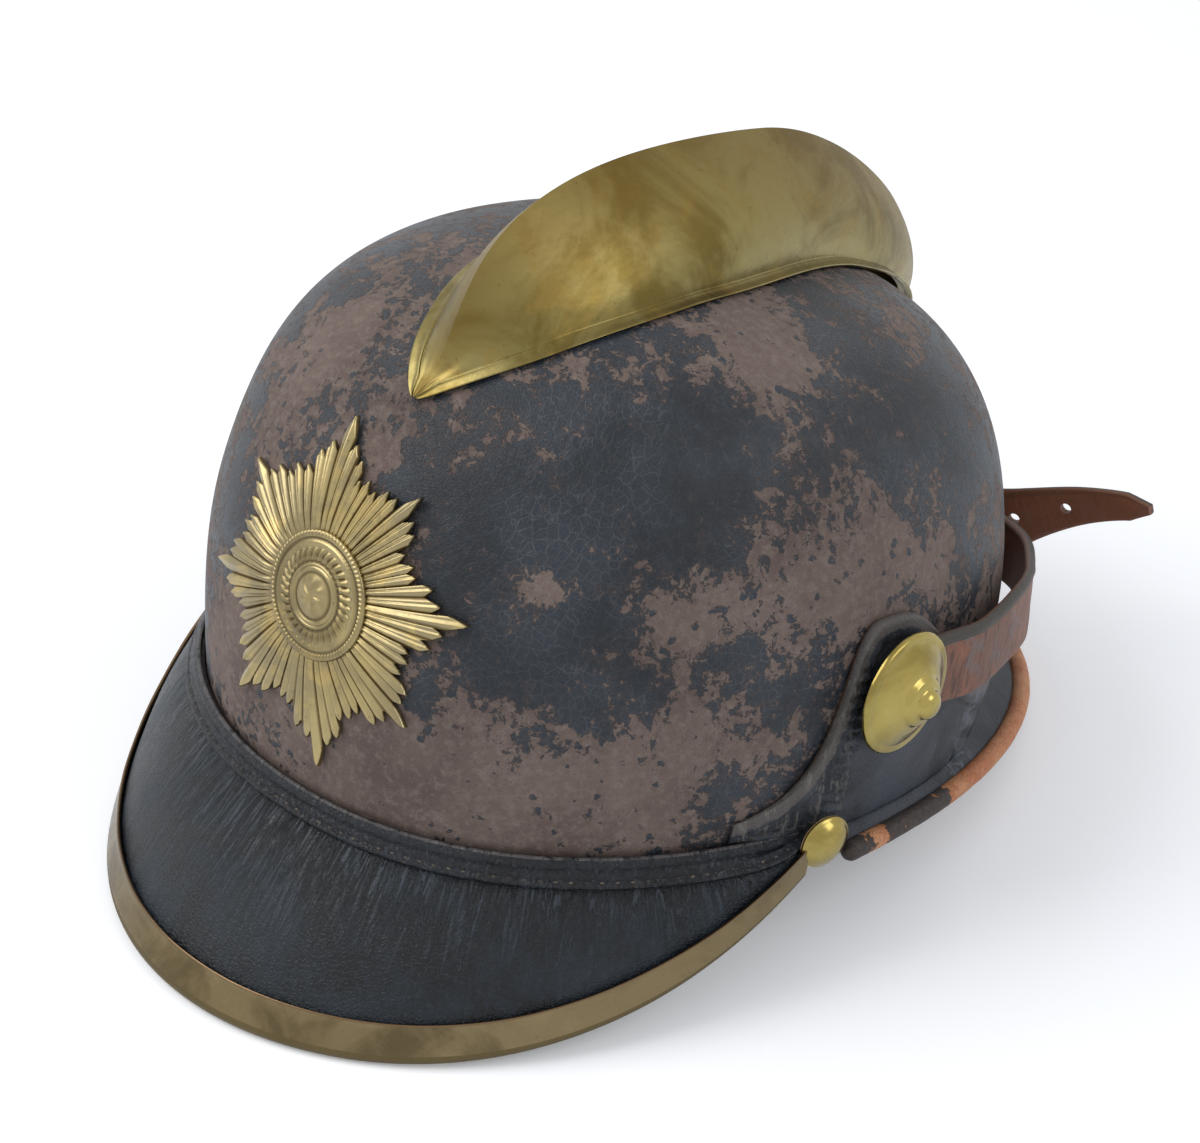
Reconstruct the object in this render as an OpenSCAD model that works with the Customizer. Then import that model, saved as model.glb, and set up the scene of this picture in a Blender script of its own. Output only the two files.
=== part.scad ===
// Leather fire helmet of the early twentieth century, standing on a table on the rim of its
// visor in front and on the rolled edge of its neck guard behind.
// Millimetres, +Z up, front towards -Y, wearer's left towards +X.

/* [Skull] */
// Half of the skull's outside length
skull_half_len = 106; // [98:0.5:112]
// Half of the skull's outside width
skull_half_w = 97; // [92:0.5:102]
// Height of the dome above the skull's base plane
skull_h = 123; // [116:0.5:130]
// Thickness of the skull's leather
skull_t = 3; // [2.4:0.1:3.6]
// Squareness of the dome's profile
dome_e = 3.2; // [2.8:0.1:3.5]
// Squareness of the skull's plan
plan_e = 2.16; // [2:0.02:2.3]
// Share by which the skull draws in at its rim
tuck = 0.04; // [0:0.01:0.06]
// Angle by which the skull leans back on the table
lean = 13; // [12:0.25:14]
// Height of the skull's base plane at its centre
skull_z = 21.1; // [19:0.1:23]
// Place of the skull's centre along the helmet
skull_y = 2.2; // [0:0.1:5]

/* [Seam] */
// Height of the welt's upper edge in front
seam_front_z = 43.9; // [41:0.1:46]
// Height of the seam line behind
seam_rear_z = 19.7; // [18:0.1:22]
// Depth of the skull's rim below the seam line
rim_drop = 7; // [6:0.1:8]
// Width of the welt band over the visor seam
welt_w = 8; // [6.5:0.1:9]
// Thickness of the welt band
welt_t = 1.4; // [1:0.1:2]
// Gap between neighbouring pieces that lie on each other
gap = 0.3; // [0.25:0.01:0.4]

/* [Visor] */
// Reach of the visor in front of the skull
visor_reach = 33.7; // [30:0.1:37]
// Thickness of the visor's leather
visor_t = 2.4; // [2:0.1:2.8]
// Thickness of the visor's skived root under the welt
root_t = 1.2; // [0.9:0.1:1.5]
// Rise of the visor's middle over a straight line
visor_bulge = 2.5; // [1.5:0.1:3.5]
// Half of the visor's spread, as an angle from the front
visor_half_a = 71; // [68:0.5:73]

/* [Visor trim] */
// Width of the trim's outer flange
trim_w = 7.9; // [7.5:0.1:10]
// Width of the trim's inner flange
trim_lap = 4; // [3:0.1:5]
// Thickness of the trim's sheet
trim_t = 0.8; // [0.6:0.05:1]
// Height of the trim's rim at its rivets
trim_end_z = 31; // [29:0.1:33]
// Radius of the domed rivet heads
rivet_r = 6.5; // [5.5:0.1:7]
// Height of the domed rivet heads
rivet_h = 3.6; // [3:0.1:4.2]
// Radius of the rivet shanks
rivet_shank_r = 1.5; // [1.2:0.05:1.8]
// Place of the rivets along the helmet
rivet_y = -20.6; // [-23:0.1:-20]
// Height of the rivets
rivet_z = 35.3; // [35:0.1:37]

/* [Neck guard] */
// Reach of the neck guard behind the skull
guard_reach = 24.6; // [22:0.1:28]
// Stand of the neck guard's edge outside the skull's widest half
guard_spread = 6.5; // [5.5:0.1:7.5]
// Thickness of the neck guard
guard_t = 2.2; // [1.8:0.1:2.6]
// Height of the ear lobe above the seam line
lobe_h = 51.5; // [48:0.1:54]
// Width of the ear lobe's front slope
lobe_front_w = 20.3; // [18:0.1:22]
// Width of the ear lobe's rear slope
lobe_rear_w = 28.5; // [26:0.1:31]
// Lap of the guard over the skull behind the lobes
guard_lap = 8; // [6:0.1:10]
// Radius of the guard's rolled edge
edge_r = 2.6; // [2:0.05:3]

/* [Rosettes] */
// Radius of a rosette
rosette_r = 15.6; // [14:0.1:16.5]
// Height of a rosette
rosette_h = 9.6; // [9:0.1:11]
// Thickness of a rosette's sheet
rosette_t = 0.8; // [0.6:0.05:1]
// Place of the rosettes along the helmet
rosette_y = 4; // [3:0.1:5]
// Height of the rosettes
rosette_z = 66.9; // [65:0.1:68]
// Radius of the rosette's screw post, the strap's pivot
post_r = 2; // [1.6:0.05:2.4]
// Radial clearance of posts, studs and shanks in their bores
post_play = 0.08; // [0.05:0.01:0.1]

/* [Comb] */
// Height of the comb above the crown
comb_h = 31; // [27:0.5:34]
// Half of the comb's width over its flanges
comb_half_w = 26; // [23:0.5:28]
// Distance by which the bent comb stands off the middle, towards the wearer's left
comb_shift = 8.8; // [0:0.1:10]
// Angle of the comb's bow in front of the hub
comb_bow_a = 39.8; // [38:0.1:41]
// Angle of the comb's stern behind the hub
comb_stern_a = 71; // [67:0.5:73]
// Width of the comb's flange
comb_flange = 4; // [3:0.1:5]
// Thickness of the comb's sheet
comb_t = 0.9; // [0.7:0.05:1.1]
// Radius of the comb's studs
comb_stud_r = 1.6; // [1.3:0.05:2]

/* [Star] */
// Radius of the star plate at its points
star_r = 40.5; // [37:0.5:43]
// Radius of the star plate between its points
star_valley_r = 31; // [28:0.5:34]
// Number of the star's rays
star_rays = 64; // [40:8:64]
// Thickness of the star plate
star_t = 1.2; // [0.9:0.05:1.5]
// Height of the star's centre
star_z = 93; // [90:0.5:96]
// Turn of the star plate on the skull
star_turn = 11; // [8:0.5:14]
// Radius of the medallion on the star
boss_r = 15.4; // [14:0.1:17]
// Height of the medallion's centre
boss_h = 3.2; // [2.5:0.1:4]
// Radius of the star's studs
star_stud_r = 1.3; // [1.1:0.05:1.5]

/* [Chin strap] */
// Width of the chin strap
strap_w = 20; // [18:0.5:21]
// Thickness of the chin strap
strap_t = 2.2; // [1.8:0.1:2.4]
// Distance of the strap from the skull behind it
strap_off = 12; // [11:0.1:13.5]
// Distance of the strap's middle from the skull's sides
strap_stand = 7; // [6.5:0.1:8]
// Drop of the strap behind the rosettes
strap_drop = 6; // [4:0.5:8]
// Height of the strap behind the skull
strap_rear_z = 28; // [27:0.1:31]
// Half length of the straight stretch behind the skull
strap_flat = 30; // [28:0.5:32]
// Reach of the free tip to the wearer's left
tail_reach = 84; // [78:0.5:88]
// Rise of the free tip over the straight stretch
tail_rise = 24; // [20:0.5:26]
// Width of the free tip
tip_w = 7; // [5:0.5:9]
// Radius of the billet holes
hole_r = 1.6; // [1.4:0.05:1.8]
// Radius of the buckle's wire
buckle_wire_r = 1.3; // [1.1:0.05:1.5]
// Distance between the buckle's bars
buckle_len = 15; // [14:0.1:16]
// Radius of the buckle's prong
prong_r = 1; // [0.8:0.05:1.1]
// Radial clearance of the prong on the bar
prong_play = 0.08; // [0.05:0.01:0.1]
// Width of the keeper loop
keeper_w = 8; // [6.5:0.1:9]
// Thickness of the keeper loop
keeper_t = 1.5; // [1.2:0.1:1.8]
// Place of the keeper from the buckle's bar
keeper_x = 21; // [20:0.5:22]

/* [Lining] */
// Height of the sweatband
band_h = 27; // [24:0.5:28]
// Thickness of the sweatband
band_t = 1.4; // [1.1:0.1:1.7]
// Stand of the sweatband off the skull
band_gap = 3.2; // [3:0.1:4]
// Thickness of the crown lining
liner_t = 1.2; // [0.9:0.1:1.5]
// Stand of the crown lining off the skull
liner_gap = 11; // [10:0.5:13]
// Number of the lining's tongues
tongue_n = 8; // [6:1:9]
// Radius of the gathered opening in the crown
cord_ring_r = 33; // [30:0.5:36]
// Radius of the drawstring
cord_r = 1.5; // [1.2:0.1:1.8]

/* [Hidden] */
$fn = 40;

black = "#25262b";
brass = "#a8944a";
brown = "#6b4632";
tan = "#b08a5e";

// Shape constants of the dome, seam, visor, guard and comb
around = 54;
skull_rows = 13;
tuck_top = 0.45;
hub = [0, 10, 50];
seam_y0 = skull_y - skull_half_len * cos(lean);
seam_y1 = skull_y + skull_half_len * cos(lean) + 8;
root_top = -1;
root_low = -4;
root_off = gap;
welt_off = root_off + root_t + gap;
channel_in = visor_t / 2 + gap;
channel_r = channel_in + trim_t;
trim_front_y = skull_y - skull_half_len - visor_reach + channel_r;
trim_end_y = rivet_y + 3;
// The rim's own angle at which it runs into the discs round the rivets
trim_half_a = acos((trim_end_y - rivet_y + 0.8 * rivet_r) / (trim_end_y - trim_front_y));
tab_x = skull_half_w + channel_in;
guard_y0 = rivet_y + 6;
guard_y1 = skull_y + skull_half_len + guard_reach - edge_r;
guard_half_w = skull_half_w + guard_spread - edge_r;
guard_start_a = 80.5;
guard_tip_a = 64;
guard_side_z = trim_end_z - 4.5;
tail_y = 10.4;
rim_e = 2;
edge_e = 2.4;

// Washers and nuts: thickness, and radius as a share of the shank's
washer_t = 1;
washer_k = 2.6;
nut_t = 2.4;
nut_k = 2;

// Vector helpers
function unit(v) = v / norm(v);
function mix(a, b, t) = a * (1 - t) + b * t;
function clamp01(t) = min(1, max(0, t));
function smooth(t) = let (c = clamp01(t)) c * c * (3 - 2 * c);
function flat(rows) = [for (r = rows) each r];
function flip(faces) = [for (f = faces) [f[2], f[1], f[0]]];
function bezier2(a, b, c, t) = mix(mix(a, b, t), mix(b, c, t), t);
function bezier3(a, b, c, d, t) = mix(bezier2(a, b, c, t), bezier2(b, c, d, t), t);
function power(v, e) = sign(v) * pow(abs(v), e);

// Skull: a dome over a squarish oval, leaning back. The azimuth a is 0 in front, 90 on the
// wearer's left; h is the share of the dome's height, and off an offset outwards.
function dome_r(h) =
    pow(1 - pow(max(0, h), dome_e), 1 / dome_e) * (1 - tuck * pow(max(0, 1 - h / tuck_top), 2));
function plan_k(a) = pow(pow(abs(cos(a)), plan_e) + pow(abs(sin(a)), plan_e), -1 / plan_e);
function to_table(p) = [p.x, skull_y + p.y * cos(lean) + p.z * sin(lean),
    skull_z - p.y * sin(lean) + p.z * cos(lean)];
function to_skull(p) = let (y = p.y - skull_y, z = p.z - skull_z)
    [p.x, y * cos(lean) - z * sin(lean), y * sin(lean) + z * cos(lean)];
function skull_pt(a, h, off) = let (k = plan_k(a), r = dome_r(h))
    to_table([(skull_half_w + off) * r * k * sin(a), -(skull_half_len + off) * r * k * cos(a),
        (skull_h + off) * h]);
function in_skull(p, off) = let (q = to_skull(p), h = q.z / (skull_h + off), r = h < 1 ? dome_r(h) : 0)
    r > 0 && pow(abs(q.x) / ((skull_half_w + off) * r), plan_e)
        + pow(abs(q.y) / ((skull_half_len + off) * r), plan_e) < 1;
// Outward direction at a point of the dome's surface
function skull_normal(p) = let (q = to_skull(p), x = abs(q.x) / skull_half_w,
    y = abs(q.y) / skull_half_len, rho = pow(pow(x, plan_e) + pow(y, plan_e), 1 / plan_e),
    k = pow(rho, dome_e - plan_e))
    unit(to_table([sign(q.x) * pow(x, plan_e - 1) / skull_half_w * k,
        sign(q.y) * pow(y, plan_e - 1) / skull_half_len * k,
        pow(max(0, q.z / skull_h), dome_e - 1) / skull_h]) - to_table([0, 0, 0]));
// Distance from o along d to the skull's surface, found by halving
function reach(o, d, off, lo = 0, hi = 190, n = 20) = n == 0 ? (lo + hi) / 2 :
    let (m = (lo + hi) / 2) in_skull(o + m * d, off) ? reach(o, d, off, m, hi, n - 1)
        : reach(o, d, off, lo, m, n - 1);
function seam_z(y) = mix(seam_rear_z, seam_front_z,
    0.5 + 0.5 * cos(180 * clamp01((y - seam_y0) / (seam_y1 - seam_y0))));
// Share of height at which the azimuth a meets the seam line, raised by up
function h_seam(a, up, off, lo = -0.2, hi = 0.75, n = 18) = n == 0 ? (lo + hi) / 2 :
    let (m = (lo + hi) / 2, p = skull_pt(a, m, off)) p.z < seam_z(p.y) + up
        ? h_seam(a, up, off, m, hi, n - 1) : h_seam(a, up, off, lo, m, n - 1);
function on_seam(a, up, off) = skull_pt(a, h_seam(a, up, off), off);
function side_x(y, z, off) = reach([0, y, z], [1, 0, 0], off);
// Least half width of the skull over a circle of the radius r on its side
function side_min(y, z, off, r) =
    min([for (a = [0:30:330]) side_x(y + r * cos(a), z + r * sin(a), off)]);
// Thickness of the skull's wall at the point p of its outside
function wall_at(p, d, lo = 0, hi = 12, n = 14) = n == 0 ? hi :
    let (m = (lo + hi) / 2) in_skull(p - m * d, -skull_t) ? wall_at(p, d, lo, m, n - 1)
        : wall_at(p, d, m, hi, n - 1);

// Surface grids: rows of points, given a thickness along their normals
function grid_normal(g, i, j) = let (n = len(g), m = len(g[0]),
    i0 = max(0, i - 1), i1 = min(n - 1, i + 1), j0 = max(0, j - 1), j1 = min(m - 1, j + 1))
    unit(cross(g[i1][j] - g[i0][j], g[i][j1] - g[i][j0]));
function quad(a, b, c, d) = [[a, b, c], [a, c, d]];

// Solid between the grid outer and the grid inner, closed along its edges
module slab(outer, inner, loop = false) {
    n = len(outer);
    m = len(outer[0]);
    s = n * m;
    last = loop ? n - 1 : n - 2;
    e = (n - 1) * m;
    skin = [for (i = [0:last]) for (j = [0:m - 2]) let (k = (i + 1) % n)
        each quad(i * m + j, k * m + j, k * m + j + 1, i * m + j + 1)];
    back = [for (f = skin) [f[2] + s, f[1] + s, f[0] + s]];
    rims = [for (i = [0:last]) let (k = (i + 1) % n) each concat(
        quad(i * m, i * m + s, k * m + s, k * m),
        quad(k * m + m - 1, k * m + m - 1 + s, i * m + m - 1 + s, i * m + m - 1))];
    ends = loop ? [] : [for (j = [0:m - 2]) each concat(
        quad(j, j + 1, j + 1 + s, j + s), quad(e + j + 1, e + j, e + j + s, e + j + 1 + s))];
    polyhedron(concat(flat(outer), flat(inner)), flip(concat(skin, back, rims, ends)));
}

// Solid swept through rings of points that turn anticlockwise about the path
module swept(rings, loop = false) {
    n = len(rings);
    m = len(rings[0]);
    e = (n - 1) * m;
    wall = [for (i = [0:loop ? n - 1 : n - 2]) let (i1 = (i + 1) % n) for (j = [0:m - 1])
        let (k = (j + 1) % m) each quad(i * m + j, i1 * m + j, i1 * m + k, i * m + k)];
    caps = loop ? [] : [for (j = [1:m - 2]) each [[0, j, j + 1], [e, e + j + 1, e + j]]];
    polyhedron(flat(rings), concat(wall, caps));
}
// Round ring about p, between the directions u and v
function round_ring(p, u, v, r, n) = [for (i = [0:n - 1])
    p + r * cos(360 * i / n) * u + r * sin(360 * i / n) * v];

// Cylinder along X from x0 to x1 at the place y and height z
module x_rod(x0, x1, y, z, r) {
    translate([x0, y, z]) rotate([0, 90, 0]) cylinder(r = r, h = x1 - x0);
}

// Places its children at the point p of the dome, with their +Z outwards; $depth is the distance
// to the washer on the inside
module on_dome(p) {
    d = skull_normal(p);
    $depth = wall_at(p, d) + 0.8;
    translate(p) rotate([0, acos(d.z), atan2(d.y, d.x)]) children();
}

// Copies its children on the wearer's left and right
module both_sides() {
    children();
    mirror([1, 0, 0]) children();
}

// Skull
module skull() {
    m = skull_rows;
    s = around * m;
    shell = [for (off = [0, -skull_t]) for (i = [0:around - 1]) let (a = i * 360 / around,
        h0 = h_seam(a, -rim_drop, off)) for (j = [0:m - 1])
            skull_pt(a, mix(1, h0, pow(1 - j / m, 2.2)), off)];
    skin = [for (i = [0:around - 1]) let (k = (i + 1) % around) for (j = [0:m - 2])
        each quad(i * m + j, k * m + j, k * m + j + 1, i * m + j + 1)];
    crown = [for (i = [0:around - 1]) let (k = (i + 1) % around)
        [i * m + m - 1, k * m + m - 1, 2 * s]];
    rim = [for (i = [0:around - 1]) let (k = (i + 1) % around)
        each quad(i * m, i * m + s, k * m + s, k * m)];
    inside = concat([for (f = skin) [f[2] + s, f[1] + s, f[0] + s]],
        [for (f = crown) [2 * s + 1, f[1] + s, f[0] + s]]);
    poles = [to_table([0, 0, skull_h]), to_table([0, 0, skull_h - skull_t])];
    color(black) difference() {
        polyhedron(concat(shell, poles), flip(concat(skin, crown, rim, inside)));
        rosette_bores();
        rivet_bores();
        comb_places() cylinder(r = comb_stud_r + post_play, h = 30, center = true);
        star_places() cylinder(r = star_stud_r + post_play, h = 30, center = true);
    }
}

// Front visor: its root lies on the skull under the welt, its rim runs inside the trim. The
// rim follows an oval in plan, flat on the table in front and rising towards the rivets.
function rim_of(a) = a * trim_half_a / visor_half_a;
function rim_pt(t) = let (y = mix(trim_end_y, trim_front_y, pow(abs(cos(t)), 2 / rim_e)),
    s = (y - trim_front_y) / (trim_end_y - trim_front_y))
    [skull_half_w * power(sin(t), 2 / rim_e), y,
        channel_r + trim_end_z * pow(max(0, (s - 0.1) / 0.9), 1.85)];
function side_dir(a) = [cos(a), sin(a), 0];
// Root, middle and rim of the visor's upper face at the azimuth a
function visor_arc(a) = let (p = on_seam(a, root_low, root_off + root_t), c = rim_pt(rim_of(a)),
    up = unit(cross(side_dir(a), p - c)), q = c + visor_t / 2 * up)
    [p, (p + q) / 2 + 2 * visor_bulge * up, q];
function visor_pt(a, v) = let (k = visor_arc(a)) bezier2(k[0], k[1], k[2], v);
function visor_up(a, v) = let (k = visor_arc(a))
    unit(cross(side_dir(a), mix(k[0] - k[1], k[1] - k[2], v)));
function visor_angles(n) = [for (i = [0:n]) mix(-visor_half_a, visor_half_a, i / n)];
module front_visor() {
    steps = [1, 0.8, 0.6, 0.4, 0.22, 0.09];
    angles = visor_angles(34);
    top = [for (a = angles) concat([for (v = steps) visor_pt(a, v)],
        [on_seam(a, root_low + 0.5, root_off + root_t), on_seam(a, root_top, root_off + root_t)])];
    under = [for (a = angles) concat([for (v = steps) visor_pt(a, v) - visor_t * visor_up(a, v)],
        [on_seam(a, root_low - 1, root_off), on_seam(a, root_top, root_off)])];
    color(black) slab(top, under);
}

// Welt: a band over the joint, its upper part on the skull and its lower part on the visor
module visor_welt() {
    angles = visor_angles(40);
    function low_v(a) = let (k = visor_arc(a))
        min(0.5, (welt_w + root_low) / norm(k[2] - k[0]));
    function rows(t) = [for (a = angles) let (v = low_v(a))
        [visor_pt(a, v) + (gap + t) * visor_up(a, v),
        visor_pt(a, v / 2) + (gap + t) * visor_up(a, v / 2),
        on_seam(a, root_low + 1.2, welt_off + t),
        on_seam(a, root_low / 2 + 0.5, welt_off + t), on_seam(a, 0, welt_off - 0.6 + 0.8 * t)]];
    color(black) slab(rows(welt_t), rows(0));
}

// Trim: a channel over the visor's rim, its ends flattened under the rivets
module visor_trim() {
    function lift(t) = smooth((abs(t) - 60) / 24);
    function lap(t) = trim_lap * (1 - smooth((abs(t) - 34) / 20)) + 0.2;
    function rows(c) = [for (a = visor_angles(36)) let (t = rim_of(a), k = visor_arc(a),
        p = rim_pt(t), f = unit(mix(unit(k[1] - k[2]), [0, 0.25, 1], lift(t))),
        m = unit(cross(side_dir(a), f)), w = min(trim_w, norm(k[2] - k[0]) * 0.45 + 4 * lift(t) + 1),
        d = c * sqrt(0.5))
        [p + lap(t) * f - c * m, p - c * m, p - d * f - d * m, p - c * f, p - d * f + d * m,
        p + c * m, p + w * f + c * m]];
    color(brass) difference() {
        union() {
            slab(rows(channel_r), rows(channel_in));
            both_sides() x_rod(tab_x, tab_x + trim_t, rivet_y, rivet_z, rivet_r + 0.6);
        }
        rivet_bores();
    }
}

// Rivets that hold the ends of the trim and the guard's front corners to the skull
burr_r = washer_k * rivet_shank_r;
rivet_in_x = side_min(rivet_y, rivet_z, -skull_t, burr_r);
module rivet_bores() {
    both_sides() x_rod(rivet_in_x - 5, tab_x + 10, rivet_y, rivet_z, rivet_shank_r + post_play);
}
module trim_rivets() {
    head_x = tab_x + trim_t;
    ball_r = (rivet_r * rivet_r + rivet_h * rivet_h) / (2 * rivet_h);
    color(brass) both_sides() {
        x_rod(rivet_in_x - 1.3, head_x + 0.5, rivet_y, rivet_z, rivet_shank_r);
        translate([head_x, rivet_y, rivet_z]) rotate([0, 90, 0]) intersection() {
            translate([0, 0, rivet_h - ball_r]) sphere(r = ball_r);
            cylinder(r = rivet_r + 1, h = rivet_h + 1);
        }
    }
}
module rivet_burrs() {
    color(brass) both_sides() difference() {
        x_rod(rivet_in_x - 1.1, rivet_in_x - 0.3, rivet_y, rivet_z, burr_r);
        rivet_bores();
    }
}

// Neck guard: a flap on the skull that rises to an ear lobe on each side, and below the seam
// a skirt that flares out to the rolled edge
function edge_at(t) = let (s = power(sin(t), 2 / edge_e))
    [guard_half_w * power(cos(t), 2 / edge_e), mix(guard_y0, guard_y1, s),
        edge_r + guard_side_z * (1 - s)];
// Point of the edge's left half that lies at the azimuth a, found by halving
function edge_find(a, lo = 0, hi = 90, n = 15) = let (m = (lo + hi) / 2, p = edge_at(m))
    n == 0 ? p : atan2(p.y - skull_y, p.x) + 90 < a ? edge_find(a, m, hi, n - 1)
        : edge_find(a, lo, m, n - 1);
function edge_pt(a) = let (p = edge_find(min(a, 360 - a))) [a > 180 ? -p.x : p.x, p.y, p.z];
function lobe_up(y) = let (u = y - rosette_y - 1, w = u < 0 ? lobe_front_w : lobe_rear_w)
    lobe_h / (1 + pow(abs(u / w), 3.3)) + mix(1, guard_lap, smooth((y - 20) / 40));
// Height of the flap's outline above the seam at the azimuth a
function flap_top(a, lo = 0.9, hi = 62, n = 14) = n == 0 ? max(1.2, (lo + hi) / 2) :
    let (m = (lo + hi) / 2) lobe_up(on_seam(a, m, guard_t).y) > m
        ? flap_top(a, m, hi, n - 1) : flap_top(a, lo, m, n - 1);
function edge_dir(a) = unit(edge_pt(min(360 - guard_start_a, a + 0.5))
    - edge_pt(max(guard_start_a, a - 0.5)));
// Root, middle and lower edge of the skirt's outside at the azimuth a; it ends on the bead
function skirt_arc(a) = let (p = on_seam(a, -2, gap + guard_t), c = edge_pt(a), t = edge_dir(a),
    span = norm(p - c), f = unit(p - c - ((p - c) * t) * t),
    d = unit(f - span / 80 * cross(t, f)), q = c + (edge_r + gap) * d + guard_t / 2 * cross(t, d))
    [p, q + span / 2 * d, q];
function skirt_pt(a, v, t) = let (k = skirt_arc(a))
    bezier2(k[0], k[1], k[2], v)
        + t * unit(cross(mix(side_dir(a), edge_dir(a), v), mix(k[0] - k[1], k[1] - k[2], v)));
function guard_column(a, t) = let (front = a < guard_start_a || a > 360 - guard_start_a,
    low = front ? gap + 0.6 : -2, top = max(low + 0.4, flap_top(a)), off = gap + guard_t + t)
    concat(front ? [for (j = [0:3]) on_seam(a, gap + 0.15 * j, off)]
        : [for (v = [1, 0.75, 0.5, 0.22]) skirt_pt(a, v, t)],
        [for (j = [0:6]) on_seam(a, mix(low, top, j / 6), off)]);
module neck_guard() {
    half = concat([for (i = [0:21]) guard_tip_a + 2.2 * i], [for (i = [1:12]) mix(110.2, 180, i / 12)]);
    angles = concat(half, [for (i = [len(half) - 2:-1:0]) 360 - half[i]]);
    color(black) difference() {
        slab([for (a = angles) guard_column(a, 0)], [for (a = angles) guard_column(a, -guard_t)]);
        rosette_bores();
        rivet_bores();
    }
}
module neck_guard_edge() {
    n = 48;
    rings = [for (i = [0:n]) let (a = mix(guard_start_a, 360 - guard_start_a, i / n),
        t = edge_dir(a), u = unit(cross([0, 0, 1], t)))
        round_ring(edge_pt(a), u, cross(t, u), edge_r, 8)];
    color(tan) swept(rings);
}

// Comb: a boat-shaped hollow sheet over the crown, measured by the angle th about the hub.
// Its shape s holds the half width, height, bow angle, stern angle and offset from the skull.
comb_outer = [comb_half_w, comb_h - gap - comb_t, comb_bow_a, comb_stern_a, gap + comb_t];
comb_inner = [comb_half_w - comb_t, comb_outer[1], comb_bow_a - 0.4, comb_stern_a - 0.6, gap];
function fan(th) = [0, sin(th), cos(th)];
// Side shift of the comb's middle: it is bent, most in front of the crown
function comb_mid(th) = comb_shift * (1 - 0.5 * smooth(th / 80) - 0.26 * smooth((-26 - th) / 14));
function comb_w(s, th) = max(0.5, s[0] * (1 - 0.24 * smooth((th - 2) / 42))
    * pow(1 - pow(1 - clamp01((th + s[2]) / 34), 2), 0.75)
    * sqrt(max(0, 1 - pow(clamp01((th - 30) / (s[3] - 30)), 2.4))));
function comb_hill(t) = pow(t, 2.3) / (pow(t, 2.3) + pow(0.185, 2.3));
function comb_rise(s, th) = max(0.3, s[1] * comb_hill(clamp01((th + s[2] - 1.4) / 68))
    * (1 - 0.2 * smooth((th - 22) / 30))
    * pow(max(0, 1 - pow(clamp01((th - 25) / (s[3] - 25)), 4)), 0.4));
function comb_lift(th) = 5 * smooth((th - 42) / 28);
// Point of the comb at the share t of its length and u across, from -1 over the ridge to 1
function comb_pt(s, t, u) = let (th = mix(-s[2], s[3], 0.5 - 0.5 * cos(180 * t)), w = comb_w(s, th),
    o = [comb_mid(th), hub.y, hub.z], wall_w = max(0.4 * w, w - comb_flange),
    v = 1 - min(1, abs(u) / 0.9), foot = sign(u) * [abs(u) > 0.95 ? w : wall_w, 0, 0],
    x = foot.x * (1 - pow(v, mix(1, 2.5, smooth((th + 39) / 70)))), off = s[4] + comb_lift(th),
    base = reach(o + foot, fan(th), off), top = reach(o, fan(th), 0) + s[4] + comb_rise(s, th))
    o + [x, 0, 0] + fan(th) * mix(base, top, v);
module comb() {
    n = 24;
    across = [1, 0.9, 0.72, 0.52, 0.32, 0.16, 0.06, 0, -0.06, -0.16, -0.32, -0.52, -0.72, -0.9, -1];
    function rows(s) = [for (i = [0:n]) let (t = mix(0.03, 1, i / n)) [for (u = across) comb_pt(s, t, u)]];
    color(brass) slab(rows(comb_outer), rows(comb_inner));
}

// Studs under the comb's flange, with washers and nuts inside the skull
module comb_places() {
    for (th = [-14, 14, 38], side = [-1, 1]) {
        o = [comb_mid(th) + side * (comb_w(comb_outer, th) - comb_flange / 2), hub.y, hub.z];
        on_dome(o + fan(th) * reach(o, fan(th), 0)) children();
    }
}
module stud(r) {
    end = $depth + washer_t + nut_t + 1.6;
    translate([0, 0, -end]) cylinder(r = r, h = end);
}
module washer(r) {
    translate([0, 0, -$depth - washer_t]) difference() {
        cylinder(r = washer_k * r, h = washer_t);
        cylinder(r = r + post_play, h = 5, center = true);
    }
}
module nut(r, under) {
    translate([0, 0, -$depth - under - nut_t]) difference() {
        cylinder(r = nut_k * r, h = nut_t, $fn = 6);
        cylinder(r = r + post_play, h = 9, center = true);
    }
}
module comb_studs() { color(brass) comb_places() stud(comb_stud_r); }
module comb_washers() { color(brass) comb_places() washer(comb_stud_r); }
module comb_nuts() { color(brass) comb_places() nut(comb_stud_r, washer_t); }

// Star: a thin plate bent to the skull's front, with eight points of fine rays; its studs are
// soldered on behind
star_c = [0, hub.y, star_z] + [0, -1, 0] * reach([0, hub.y, star_z], [0, -1, 0], 0);
star_n = skull_normal(star_c);
star_up = unit(cross(star_n, [1, 0, 0]));
function star_pt(r, a, off) = let (o = star_c + r * cos(a) * [1, 0, 0] + r * sin(a) * star_up - 60 * star_n)
    o + star_n * reach(o, star_n, off);
function star_edge(a) = let (p = abs(((a - star_turn - 90 + 720) % 45) - 22.5) / 22.5)
    mix(star_valley_r, star_r, pow(p, 1.6));
module star_plate() {
    n = 2 * star_rays;
    radii = [1, 0.62, 0.24];
    function rows(off) = [for (i = [0:n - 1]) let (a = star_turn + 90 + i * 360 / n,
        r = star_edge(a) - (i % 2) * 3) [for (k = radii) star_pt(r * k, a, off)]];
    color(brass) slab(rows(2 * gap + star_t), rows(2 * gap), loop = true);
}
module star_medallion() {
    z0 = 3 * gap + star_t;
    color(brass) translate(star_c + z0 * star_n) rotate([acos(star_n.z), 0, 0]) rotate_extrude()
        polygon([[0, 0], [boss_r, 0], [boss_r, 0.8], [boss_r - 0.8, 1.4], [boss_r - 2, 1.2],
            [boss_r - 2.8, 1.9], [0.5 * boss_r, 2.2], [0.46 * boss_r, 2.8], [0.4 * boss_r, 2.4],
            [0.2 * boss_r, boss_h], [0, boss_h]]);
}
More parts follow.
